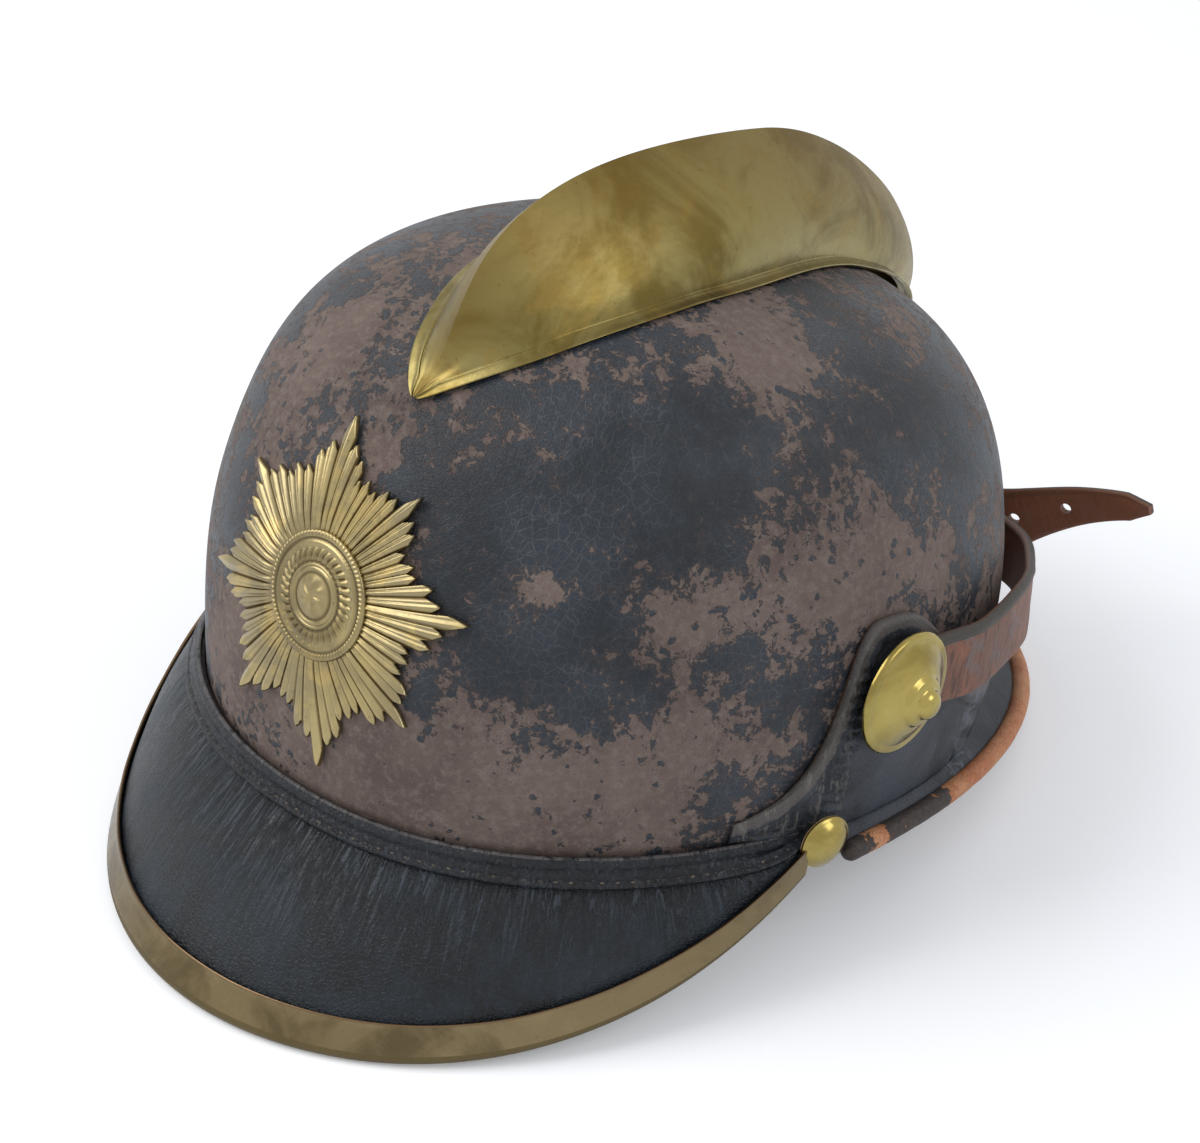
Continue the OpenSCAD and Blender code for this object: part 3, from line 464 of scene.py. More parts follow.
@dataclass(frozen=True)
class Dome:
    """The skull's outside: a dome over a squarish oval, leaning back on the table.

    An azimuth is 0 in front and 90 on the wearer's left; h is the share of the dome's height.
    """

    half_len: float = 106.0
    half_w: float = 97.0
    height: float = 123.0
    dome_e: float = 3.2
    plan_e: float = 2.16
    tuck: float = 0.04
    tuck_top: float = 0.45
    lean: float = 13.0
    y: float = 2.2
    z: float = 21.1
    seam_front_z: float = 43.9
    seam_rear_z: float = 19.7

    def radius(self, h: Array) -> Array:
        """Share of the plan at height h: (1 - h^3.2)^(1/3.2) (1 - 0.04 (1 - h/0.45)^2)."""
        body = np.maximum(0, 1 - np.maximum(0, h) ** self.dome_e) ** (1 / self.dome_e)
        return body * (1 - self.tuck * np.maximum(0, 1 - h / self.tuck_top) ** 2)

    def to_table(self, x: Array, y: Array, z: Array) -> Array:
        """Skull's own place, turned back by the lean and set on the table."""
        c, s = cosd(self.lean), sind(self.lean)
        return vec(x, self.y + y * c + z * s, self.z - y * s + z * c)

    def to_skull(self, p: Array) -> tuple[Array, Array, Array]:
        """Table place, turned into the skull's own frame."""
        y, z, c, s = p[..., 1] - self.y, p[..., 2] - self.z, cosd(self.lean), sind(self.lean)
        return p[..., 0], y * c - z * s, y * s + z * c

    def point(self, a: Any, h: Any, off: Any = 0.0) -> Array:
        """Point at azimuth a and height share h, off outside the surface."""
        c, s = cosd(a), sind(a)
        k = (np.abs(c) ** self.plan_e + np.abs(s) ** self.plan_e) ** (-1 / self.plan_e) * self.radius(h)
        return self.to_table((self.half_w + off) * k * s, -(self.half_len + off) * k * c,
                             (self.height + off) * h + 0 * k)

    def inside(self, p: Array, off: Any) -> Array:
        """Whether points lie inside the surface grown by off."""
        x, y, z = self.to_skull(p)
        h = z / (self.height + off)
        r = np.maximum(self.radius(np.minimum(h, 1)), 1e-9)
        k = (np.abs(x) / ((self.half_w + off) * r)) ** self.plan_e
        k = k + (np.abs(y) / ((self.half_len + off) * r)) ** self.plan_e
        return (h < 1) & (k < 1)

    def reach(self, o: Array, d: Array, off: Any = 0.0) -> Array:
        """Distance from o along d to the surface grown by off, by halving 0..190."""
        low = np.zeros(np.broadcast_shapes(o.shape, d.shape)[:-1])
        high = low + 190.0
        for _ in range(24):
            m = (low + high) / 2
            hit = self.inside(o + m[..., None] * d, off)
            low, high = np.where(hit, m, low), np.where(hit, high, m)
        return (low + high) / 2

    def normal(self, p: Array) -> Array:
        """Outward direction: the gradient of the two powers' sum at p."""
        e = self.plan_e
        x, y, z = self.to_skull(p)
        u, v = np.abs(x) / self.half_w, np.abs(y) / self.half_len
        k = ((u ** e + v ** e) ** (1 / e)) ** (self.dome_e - e)
        top = self.to_table(np.sign(x) * u ** (e - 1) / self.half_w * k,
                            np.sign(y) * v ** (e - 1) / self.half_len * k,
                            np.maximum(0, z / self.height) ** (self.dome_e - 1) / self.height)
        return unit(top - self.to_table(0.0, 0.0, 0.0))

    def seam_z(self, y: Array) -> Array:
        """Height of the seam line: high in front, low behind, along half a cosine."""
        y0 = self.y - self.half_len * cosd(self.lean)
        y1 = self.y + self.half_len * cosd(self.lean) + 8
        return mix(self.seam_rear_z, self.seam_front_z,
                   0.5 + 0.5 * cosd(180 * np.clip((y - y0) / (y1 - y0), 0, 1)))

    def h_seam(self, a: Any, up: Any = 0.0, off: Any = 0.0) -> Array:
        """Height share where azimuth a meets the seam line raised by up, by halving."""
        a, up, off = np.broadcast_arrays(np.asarray(a, float), up, off)
        low, high = np.full(a.shape, -0.2), np.full(a.shape, 0.75)
        for _ in range(22):
            m = (low + high) / 2
            p = self.point(a, m, off)
            under = p[..., 2] < self.seam_z(p[..., 1]) + up
            low, high = np.where(under, m, low), np.where(under, high, m)
        return (low + high) / 2

    def on_seam(self, a: Any, up: Any = 0.0, off: Any = 0.0) -> Array:
        """Point of the grown surface at azimuth a, up above the seam line."""
        return self.point(a, self.h_seam(a, up, off), off)


DOME = Dome()
GAP = 0.3


def side_dir(a: Array) -> Array:
    """Level direction along the skull's outline at azimuth a."""
    return vec(cosd(a), sind(a), 0.0)


# Sub-assemblies


@dataclass
class Skull:
    """Pressed leather skull, painted outside, with the paint's cover set patch by patch."""

    thick: float = 3.0
    rim_drop: float = 7.0
    columns: int = 288
    rows: int = 90
    # (azimuth, height share, spread in degrees, spread in height, cover added)
    patches: tuple[tuple[float, float, float, float, float], ...] = ()

    def cover(self, a: Array, h: Array) -> Array:
        """Share of paint left: a base level plus soft bumps sum(v exp(-(da/s)^2 - (dh/t)^2))."""
        total = np.full(np.broadcast_shapes(a.shape, h.shape), 0.47)
        for at, high, wide, tall, value in self.patches:
            turn = (a - at + 180) % 360 - 180
            total = total + value * np.exp(-(turn / wide) ** 2 - ((h - high) / tall) ** 2)
        return total

    def build(self, finish: Material) -> None:
        """Builds the bowl: rows close up towards the crown as 1 - (1 - j/m)^2.2."""
        a = np.linspace(0, 360, self.columns, endpoint=False)[:, None]
        t = (1 - np.arange(self.rows) / self.rows)[None, :] ** 2.0

        def side(off: float) -> tuple[Array, Array]:
            """Heights and points of the bowl's side at an offset; the outside sags a little."""
            h = mix(1.0, DOME.h_seam(a, -self.rim_drop, off), t)
            sag = ripple(np.radians(a) * 3, h * 6, 1.3)
            sag = 0.35 * sag * np.sin(np.pi * np.clip(h, 0, 1)) ** 0.5 if off == 0 else 0
            return h, DOME.point(a, h, off + sag)

        h, outer = side(0.0)
        _, inner = side(-self.thick)
        poles = (DOME.point(0.0, 1.0, 0.0), DOME.point(0.0, 1.0, -self.thick))
        show(wall(outer, inner, True, {"cover": self.cover(a, h)}, poles=poles), "skull_shell",
             Body.HELMET, finish, ["skull"])


@dataclass
class Visor:
    """Front visor with its welt, stitches, brass channel over the rim and the rivets' discs."""

    reach: float = 33.7
    thick: float = 2.4
    root_t: float = 1.2
    bulge: float = 2.5
    half_a: float = 71.0
    tuck_a: float = 3.4
    welt_w: float = 8.0
    welt_t: float = 1.4
    channel_in: float = 1.5
    trim_t: float = 0.8
    trim_w: float = 7.9
    trim_lap: float = 4.0
    trim_end_z: float = 31.0
    rivet_r: float = 6.5
    rivet_h: float = 3.6
    rivet_y: float = -20.6
    rivet_z: float = 35.3

    def __post_init__(self) -> None:
        """Works out the sizes that follow from the others."""
        self.channel_r = self.channel_in + self.trim_t
        self.front_y = DOME.y - DOME.half_len - self.reach + self.channel_r
        self.end_y = self.rivet_y + 3
        self.rim_a = math.degrees(math.acos((self.end_y - self.rivet_y + 0.8 * self.rivet_r)
                                            / (self.end_y - self.front_y)))
        self.tab_x = DOME.half_w + self.channel_in
        self.welt_off = GAP + self.root_t + GAP

    def head_way(self, side: float) -> Array:
        """Direction a rivet's head faces: outwards, a little forwards and up."""
        return unit(np.array([0.95 * side, -0.22, 0.2]))

    def rim(self, t: Array) -> Array:
        """Rim's middle: an oval in plan, flat on the table in front, rising towards the rivets."""
        y = mix(self.end_y, self.front_y, np.abs(cosd(t)))
        s = (y - self.front_y) / (self.end_y - self.front_y)
        return vec(DOME.half_w * sind(t), y,
                   self.channel_r + self.trim_end_z * np.maximum(0, (s - 0.1) / 0.9) ** 1.85)

    def arc(self, a: Array) -> tuple[Array, Array, Array]:
        """Root, middle and rim of the upper face at azimuth a."""
        p = DOME.on_seam(a, -4, GAP + self.root_t)
        c = self.rim(np.clip(a * self.rim_a / self.half_a, -90, 90))
        up = unit(np.cross(side_dir(a), p - c))
        q = c + self.thick / 2 * up
        return p, (p + q) / 2 + 2 * self.bulge * up, q

    def face(self, a: Array, v: Array, off: Any = 0.0) -> Array:
        """Upper face at azimuths a (n,) and shares v (n, m) or (1, m), moved off outwards."""
        k0, k1, k2 = (k[:, None] for k in self.arc(a))
        v = np.broadcast_to(v, (len(a), v.shape[-1]))
        w = v[..., None]
        up = unit(np.cross(side_dir(a)[:, None], mix(k0 - k1, k1 - k2, w)))
        off = np.asarray(off)[..., None] if np.ndim(off) else off
        return mix(mix(k0, k1, w), mix(k1, k2, w), w) + off * up

    def build_leather(self, finish: Material) -> None:
        """Visor: its root on the skull under the welt, its rim inside the channel."""
        a = np.linspace(-1, 1, 270) * (self.half_a + self.tuck_a)
        v = np.linspace(1, 0, 34)[None, :]
        col = a[:, None]
        crumple = np.clip(1 - v / 0.42, 0, 1) ** 2 * np.clip(v / 0.05, 0, 1)
        dent = 0.22 * crumple * np.sin(col * 2.1 + 2.5 * np.sin(col * 0.31)) * (0.6 + 0.4 * np.sin(col * 0.9))
        dent = dent + 0.3 * ripple(col / 9, v * 5, 0.4) * np.sin(np.pi * v) ** 2
        top = np.concatenate([self.face(a, v, dent), DOME.on_seam(col, -3.5, GAP + self.root_t),
                              DOME.on_seam(col, -1, GAP + self.root_t)], 1)
        under = np.concatenate([self.face(a, v, -self.thick), DOME.on_seam(col, -5, GAP),
                                DOME.on_seam(col, -1, GAP)], 1)
        down = np.concatenate([v[0], [0.0, 0.0]])[None, :]
        layers = {"down": np.broadcast_to(down, top.shape[:2]), "along": np.broadcast_to(col, top.shape[:2])}
        show(wall(top, under, layers=layers), "visor_leather", Body.HELMET, finish,
             ["front_visor"])

    def welt_rows(self, a: Array, off: float) -> Array:
        """Band over the joint, from its lower edge on the visor to its upper edge on the skull."""
        k0, _, k2 = self.arc(a)
        low = np.minimum(0.5, (self.welt_w - 4) / np.linalg.norm(k2 - k0, axis=-1))[:, None]
        col = a[:, None]
        rows = np.concatenate([
            self.face(a, np.concatenate([low, low / 2], 1), GAP + off),
            DOME.on_seam(col, -2.8, self.welt_off + off), DOME.on_seam(col, -1.5, self.welt_off + off),
            DOME.on_seam(col, 0, self.welt_off - 0.6 + 0.8 * off)], 1)
        return through(rows, 5)

    def build_welt(self, finish: Material, thread: Material) -> None:
        """Welt band, a little fuller in its middle, and the thread along its lower edge."""
        a = np.linspace(-1, 1, 310) * (self.half_a + self.tuck_a)
        inner, outer = self.welt_rows(a, 0.0), self.welt_rows(a, self.welt_t)
        m = outer.shape[1]
        across = np.linspace(0, 1, m)[None, :]
        out = unit(outer - inner)
        swell = 0.35 * np.sin(np.pi * across) - 0.3 * np.exp(-((across - 0.17) / 0.05) ** 2)
        outer = outer + (swell + 0.08 * ripple(a[:, None] / 2, across * 3, 2.0))[..., None] * out
        layers = {"across": np.broadcast_to(across, outer.shape[:2]),
                  "along": np.broadcast_to(a[:, None], outer.shape[:2])}
        show(wall(outer, inner, layers=layers), "visor_band", Body.HELMET, finish, ["visor_welt"])
        line = outer[:, round(0.17 * (m - 1))]
        show(seam_thread(line, out[:, 3], 3.6, 2.5, 0.75), "welt_thread", Body.HELMET, thread)

    def build_trim(self, finish: Material) -> None:
        """Brass channel: lap under the rim, round roll, wide flange on top; discs at its ends."""
        a = np.linspace(-self.half_a, self.half_a, 300)
        t = a * self.rim_a / self.half_a
        k0, k1, k2 = self.arc(a)
        lift = smooth((np.abs(t) - 60) / 24)[:, None]
        p = self.rim(t)
        f = unit(mix(unit(k1 - k2), np.array([0, 0.25, 1.0]), lift))
        m = unit(np.cross(side_dir(a), f))
        lap = (self.trim_lap * (1 - smooth((np.abs(t) - 34) / 20)) + 0.2)[:, None]
        span = np.linalg.norm(k2 - k0, axis=-1)[:, None]
        wide = np.minimum(self.trim_w, span * 0.45 + 4 * lift + 1)
        roll = np.radians(np.linspace(-90, 90, 11))
        flange = np.linspace(0, 1, 9)[1:]

        def rows(c: float, bead: float) -> Array:
            """Channel's section at the offset c: under lap, rolled turn and upper lap."""
            under = [p + mix(lap, 0, s) * f - c * m for s in (0.0, 0.5)]
            turn = [p - c * math.cos(g) * f + c * math.sin(g) * m for g in roll]
            beat = 0.16 * bead * ripple(t[:, None] / 6, 1.7, 0.8)
            top = [p + wide * s * f + (c + beat * s + bead * 0.3 * math.exp(-((s - 1) / 0.12) ** 2)) * m
                   for s in flange]
            return np.stack(under + turn + top, 1)

        outer, inner = rows(self.channel_r, 1.0), rows(self.channel_in, 0.0)
        # edge is 0 on the lap and roll, which the finish covers with painted shade.
        edge = np.concatenate([np.zeros(13), flange])[None, :] + 0 * t[:, None]
        parts = [wall(outer, inner, layers={"edge": edge})]
        for side in (-1.0, 1.0):
            disc = soft_profile([(0, 0.05), (self.rivet_r + 0.5, 0.05), (self.rivet_r + 0.5, self.trim_t),
                                 (0, self.trim_t)])[::-1]
            parts.append(lathe(disc, np.array([side * self.tab_x, self.rivet_y, self.rivet_z]),
                               self.head_way(side), np.array([0, 0, 1.0]), 48))
        show(join(parts), "visor_channel", Body.HELMET, finish, ["visor_trim"])

    def build_rivets(self, finish: Material) -> None:
        """Domed heads: a part of a ball of radius (r^2 + h^2) / 2h over a thin foot."""
        ball = (self.rivet_r ** 2 + self.rivet_h ** 2) / (2 * self.rivet_h)
        r = np.linspace(self.rivet_r, 0, 20)
        cap = np.stack([r, np.sqrt(ball ** 2 - r ** 2) - (ball - self.rivet_h)], -1)
        cap[0, 1] = 0.35
        cap[:, 0] *= 1.07
        profile = np.concatenate([[(0, -4.0), (1.5, -4.0), (1.5, 0.0), (cap[0, 0], 0.0)], cap])
        parts = [lathe(profile, np.array([s * (self.tab_x + self.trim_t), self.rivet_y, self.rivet_z]),
                       self.head_way(s), np.array([0, 0, 1.0]), 64) for s in (-1.0, 1.0)]
        show(join(parts), "rivet_heads", Body.HELMET, finish, ["trim_rivets"])


def seam_thread(line: Array, out: Array, pitch: float, length: float, thick: float) -> Skin:
    """Stitches every pitch along a line of points, with the directions out off the surface.

    The places are read off the line's own length by straight interpolation.
    """
    run = np.r_[0, np.cumsum(np.linalg.norm(np.diff(line, axis=0), axis=1))]
    s = np.arange(pitch / 2, run[-1], pitch)
    at = np.stack([np.interp(s, run, line[:, k]) for k in range(3)], -1)
    ahead = np.stack([np.interp(s + 0.5, run, line[:, k]) for k in range(3)], -1)
    behind = np.stack([np.interp(s - 0.5, run, line[:, k]) for k in range(3)], -1)
    off = unit(np.stack([np.interp(s, run, out[:, k]) for k in range(3)], -1))
    return stitches(at, unit(ahead - behind), off, length, thick)


@dataclass
class NeckGuard:
    """Leather guard: ear lobes on the skull, a lap behind, a skirt and its rolled edge."""

    reach: float = 24.6
    spread: float = 6.5
    thick: float = 2.2
    lobe_h: float = 51.5
    lobe_front: float = 20.3
    lobe_rear: float = 28.5
    lap: float = 8.0
    edge_r: float = 2.6
    start_a: float = 80.5
    tip_a: float = 64.0
    border_w: float = 4.6

    def __post_init__(self) -> None:
        """Works out the edge's place, and keeps a fine table of the left half's edge by azimuth."""
        visor = Visor()
        self.y0 = visor.rivet_y + 6
        self.y1 = DOME.y + DOME.half_len + self.reach - self.edge_r
        self.half_w = DOME.half_w + self.spread - self.edge_r
        self.side_z = visor.trim_end_z - 4.5
        t = np.linspace(0, 90, 6001)
        s = power(sind(t), 2 / 2.4)
        p = vec(self.half_w * power(cosd(t), 2 / 2.4), mix(self.y0, self.y1, s),
                self.edge_r + self.side_z * (1 - s))
        self.table = (np.degrees(np.arctan2(p[:, 1] - DOME.y, p[:, 0])) + 90, p)

    def edge(self, a: Array) -> Array:
        """Middle of the rolled edge at azimuth a: an oval of power 2.4, lowest behind."""
        b = np.minimum(a, 360 - a)
        p = np.stack([np.interp(b, self.table[0], self.table[1][:, k]) for k in range(3)], -1)
        p[..., 0] = np.where(a > 180, -p[..., 0], p[..., 0])
        return p

    def edge_dir(self, a: Array) -> Array:
        """Direction along the rolled edge."""
        last = 360 - self.start_a
        return unit(self.edge(np.minimum(last, a + 0.5)) - self.edge(np.maximum(self.start_a, a - 0.5)))

    def lobe_up(self, y: Array) -> Array:
        """Outline above the seam: a bell 51.5 / (1 + |u/w|^e) at each ear, plus the lap behind."""
        u = y - 5.0
        w = np.where(u < 0, self.lobe_front, self.lobe_rear)
        bell = self.lobe_h / (1 + np.abs(u / w) ** np.where(u < 0, 2.95, 3.2))
        return bell + mix(1, self.lap, smooth((y - 20) / 40))

    def flap_top(self, a: Array) -> Array:
        """Height of the flap above the seam at azimuth a, by halving."""
        low, high = np.full(a.shape, 0.9), np.full(a.shape, 62.0)
        for _ in range(18):
            m = (low + high) / 2
            more = self.lobe_up(DOME.on_seam(a, m, self.thick)[..., 1]) > m
            low, high = np.where(more, m, low), np.where(more, high, m)
        return np.maximum(1.2, (low + high) / 2)

    def skirt(self, a: Array, v: Array, t: Any) -> Array:
        """Skirt's outside moved by t, from the seam (v = 0) to the bead (v = 1)."""
        a = np.clip(a, self.start_a, 360 - self.start_a)
        p, c, d = DOME.on_seam(a, -2, GAP + self.thick), self.edge(a), self.edge_dir(a)
        span = np.linalg.norm(p - c, axis=-1, keepdims=True)
        rise = p - c
        f = unit(rise - (rise * d).sum(-1, keepdims=True) * d)
        way = unit(f - span / 80 * np.cross(d, f))
        q = c + (self.edge_r + GAP) * way + self.thick / 2 * np.cross(d, way)
        k0, k1, k2 = (k[:, None] for k in (p, q + span / 2 * way, q))
        seam = unit(DOME.on_seam(a + 0.5, -2, GAP + self.thick) - DOME.on_seam(a - 0.5, -2, GAP + self.thick))
        w = np.broadcast_to(v, (len(a), v.shape[-1]))[..., None]
        out = unit(np.cross(mix(seam[:, None], d[:, None], w), mix(k0 - k1, k1 - k2, w)))
        t = np.asarray(t)[..., None] if np.ndim(t) else t
        return mix(mix(k0, k1, w), mix(k1, k2, w), w) + t * out

    def build(self, finish: Material, thread: Material) -> None:
        """Guard: columns from the bead over the skirt and up to the flap's outline.

        Each point's distance from the outline raises a border and tells the finish how near it is.
        """
        half = np.concatenate([np.linspace(self.tip_a, 112, 190), np.linspace(112, 180, 90)[1:]])
        a = np.concatenate([half, 360 - half[-2::-1]])
        col = a[:, None]
        front = (a < self.start_a) | (a > 360 - self.start_a)
        b = np.minimum(a, 360 - a)
        on = smooth((b - self.start_a + 1.3) / 1.3)[:, None]
        v = np.linspace(1, 0.06, 15)[None, :]
        low = mix(GAP + 0.6, -2.0, on[:, 0])
        top = np.maximum(low + 0.4, self.flap_top(a))
        up = low[:, None] + (top - low)[:, None] * np.linspace(0, 1, 40)[None, :]

        def rows(t: Any, lift: Array) -> Array:
            """Skirt and flap moved outwards by t, the flap by lift as well."""
            strip = DOME.on_seam(col, GAP + 0.45 * (1 - v), GAP + self.thick + t)
            lower = mix(strip, self.skirt(a, v, t), on[..., None])
            return np.concatenate([lower, DOME.on_seam(col, up, GAP + self.thick + t + lift)], 1)

        plain, zero = rows(0.0, np.zeros_like(up)), np.zeros_like(up)
        rim = plain[:, -1]
        dist = np.min(np.linalg.norm(plain[:, :, None] - rim[None, None, ::2], axis=-1), axis=-1)
        dist = np.minimum(dist, 60)
        lobe = dist[:, 15:]
        tall = (top > 14)[:, None]
        border = np.where(tall, 0.55 * (1 - smooth((lobe - self.border_w) / 0.9)),
                          0.25 * (1 - smooth((lobe - 3) / 1)))
        crease = 0.5 * np.exp(-((b - 79) / 2.6) ** 2)[:, None] * np.sin(up * 1.9 + b[:, None] * 0.8) * tall
        fold = 0.6 * np.exp(-((b - 112) / 4.0) ** 2)[:, None] * np.sin(up * 0.9 + b[:, None] * 0.7)
        fold = fold * smooth((lobe - 5) / 4)
        soft = 0.16 * ripple(b[:, None] / 3.1, up / 5.0, 0.9) * smooth(lobe / 4)
        thin = -1.5 * (1 - smooth((b - self.tip_a) / 8))[:, None]
        outer = rows(thin, border + np.clip(crease * smooth(lobe / 3) + fold, -0.5, 0.6) + soft)
        inner = rows(-self.thick, zero)
        skirt_part = np.concatenate([np.ones((len(a), 15)), zero], 1) * (~front)[:, None]
        layers = {"rim_mm": dist, "skirt": skirt_part, "turn": np.broadcast_to(b[:, None], dist.shape)}
        show(wall(outer, inner, layers=layers), "guard_leather_shell", Body.HELMET, finish,
             ["neck_guard"])
        self.build_thread(thread)

    def build_thread(self, thread: Material) -> None:
        """Stitches that hold the guard to the skull, a little above the seam, on both sides."""
        parts = []
        for low_a, high_a in ((66.0, 79.0), (281.0, 294.0)):
            a = np.linspace(low_a, high_a, 60)
            line = DOME.on_seam(a, 2.2, GAP + self.thick + 0.5)
            keep = self.flap_top(a) > 3.4
            if keep.sum() > 8:
                parts.append(seam_thread(line[keep], DOME.normal(line[keep]), 3.4, 2.3, 0.7))
        back = np.linspace(128, 232, 260)
        line = DOME.on_seam(back, 3.5, GAP + self.thick + 0.1)
        parts.append(seam_thread(line, DOME.normal(line), 4.2, 2.8, 0.75))
        show(join(parts), "guard_thread", Body.HELMET, thread)

    def build_edge(self, finish: Material) -> None:
        """Rolled edge: a bead of radius 2.6 that grows from a blunt tip at each rivet."""
        a = np.linspace(self.start_a, 360 - self.start_a, 420)
        c, d = self.edge(a), self.edge_dir(a)
        u = unit(np.cross(np.array([0, 0, 1.0]), d))
        tip = np.minimum(a - a[0], a[-1] - a)
        size = np.sqrt(np.clip(1 - (1 - np.clip(tip / 1.4, 0, 1)) ** 2, 0.02, 1))
        ring = circle(20, self.edge_r)[None] * size[:, None, None]
        dent = 1 + 0.035 * ripple(a[:, None] / 1.9, np.linspace(0, 4, 20)[None], 0.3)
        layers = {"turn": np.minimum(a, 360 - a)[:, None], "ring": np.linspace(0, 1, 20)[None]}
        show(tube(c, u, np.cross(d, u), ring * np.minimum(dent, 1.0)[..., None], layers=layers),
             "guard_bead", Body.HELMET, finish, ["neck_guard_edge"])


@dataclass
class Comb:
    """Boat-shaped hollow brass comb, measured by the angle th about a hub inside the skull."""

    height: float = 31.0
    half_w: float = 26.0
    shift: float = 8.8
    bow_a: float = 39.8
    stern_a: float = 71.0
    flange: float = 4.0
    sheet: float = 0.9

    def middle(self, th: Array) -> Array:
        """Side shift of the comb's middle: it is bent, most in front of the crown."""
        return self.shift * (1 - 0.5 * smooth(th / 80) - 0.26 * smooth((-26 - th) / 14))

    def width(self, s: tuple[float, ...], th: Array) -> Array:
        """Half width along the comb: a round bow, a slow taper and a rounded stern."""
        bow = (1 - (1 - np.clip((th + s[2]) / 34, 0, 1)) ** 2) ** 0.75
        stern = np.sqrt(np.maximum(0, 1 - np.clip((th - 30) / (s[3] - 30), 0, 1) ** 2.4))
        return np.maximum(0.5, s[0] * (1 - 0.24 * smooth((th - 2) / 42)) * bow * stern)

    def rise(self, s: tuple[float, ...], th: Array) -> Array:
        """Height of the ridge over the skull: t^2.3 / (t^2.3 + 0.185^2.3) from the bow, rounded behind."""
        t = np.clip((th + s[2] - 1.4) / 68, 0, 1) ** 2.3
        stern = np.maximum(0, 1 - np.clip((th - 25) / (s[3] - 25), 0, 1) ** 4) ** 0.4
        return np.maximum(0.3, s[1] * t / (t + 0.185 ** 2.3) * (1 - 0.2 * smooth((th - 22) / 30)) * stern)

    def sheet_grid(self, s: tuple[float, ...], t: Array, u: Array, face: float) -> Array:
        """Grid over the comb: t along it, u across from flange over the ridge to flange."""
        th = mix(-s[2], s[3], 0.5 - 0.5 * cosd(180 * t))[:, None]
        w = self.width(s, th)
        wall_w = np.maximum(0.4 * w, w - self.flange)
        v = 1 - np.minimum(1, np.abs(u) / 0.9)
        out = np.clip((np.abs(u) - 0.9) / 0.1, 0, 1)
        foot = np.sign(u) * mix(wall_w, w, out)
        x = foot * (1 - v ** mix(1, 2.5, smooth((th + 39) / 70)))
        ray = vec(0.0, sind(th), cosd(th))
        o = vec(self.middle(th) + 0 * foot, 10.0, 50.0)
        lip = face * 0.35 * np.exp(-((np.abs(u) - 0.905) / 0.02) ** 2)
        off = s[4] + 5 * smooth((th - 42) / 28)
        base = DOME.reach(o + vec(foot, 0.0, 0.0), ray, off + 0 * foot) + lip
        top = DOME.reach(o, ray, 0 * foot) + s[4] + self.rise(s, th)
        beat = face * 0.12 * ripple(th / 9, u * 5, 0.7) * np.sin(np.pi * np.clip(v, 0, 1))
        return o + vec(x, 0.0, 0.0) + ray * (mix(base, top, v) + beat)[..., None]

    def build(self, finish: Material) -> None:
        """Comb: outside and inside grids, closed along the flange."""
        outer_s = (self.half_w, self.height - GAP - self.sheet, self.bow_a, self.stern_a, GAP + self.sheet)
        inner_s = (self.half_w - self.sheet, outer_s[1], self.bow_a - 0.4, self.stern_a - 0.6, GAP)
        t = np.linspace(0.03, 1, 170)
        half = np.concatenate([np.linspace(1, 0.93, 5), np.linspace(0.92, 0.86, 8),
                               np.linspace(0.84, 0.12, 24),
                               [0.08, 0.045, 0.02, 0.008]])
        u = np.concatenate([half, [0.0], -half[::-1]])[None, :]
        outer, inner = (self.sheet_grid(s, t, u, f) for s, f in ((outer_s, 1.0), (inner_s, 0.0)))
        # The share across also sets the finish's painted shade along the ridge.
        share = np.broadcast_to(np.abs(u), outer.shape[:2])
        along = np.broadcast_to(t[:, None], outer.shape[:2])
        show(wall(outer, inner, layers={"across": share, "along": along}), "comb_sheet", Body.HELMET,
             finish, ["comb"], 50)


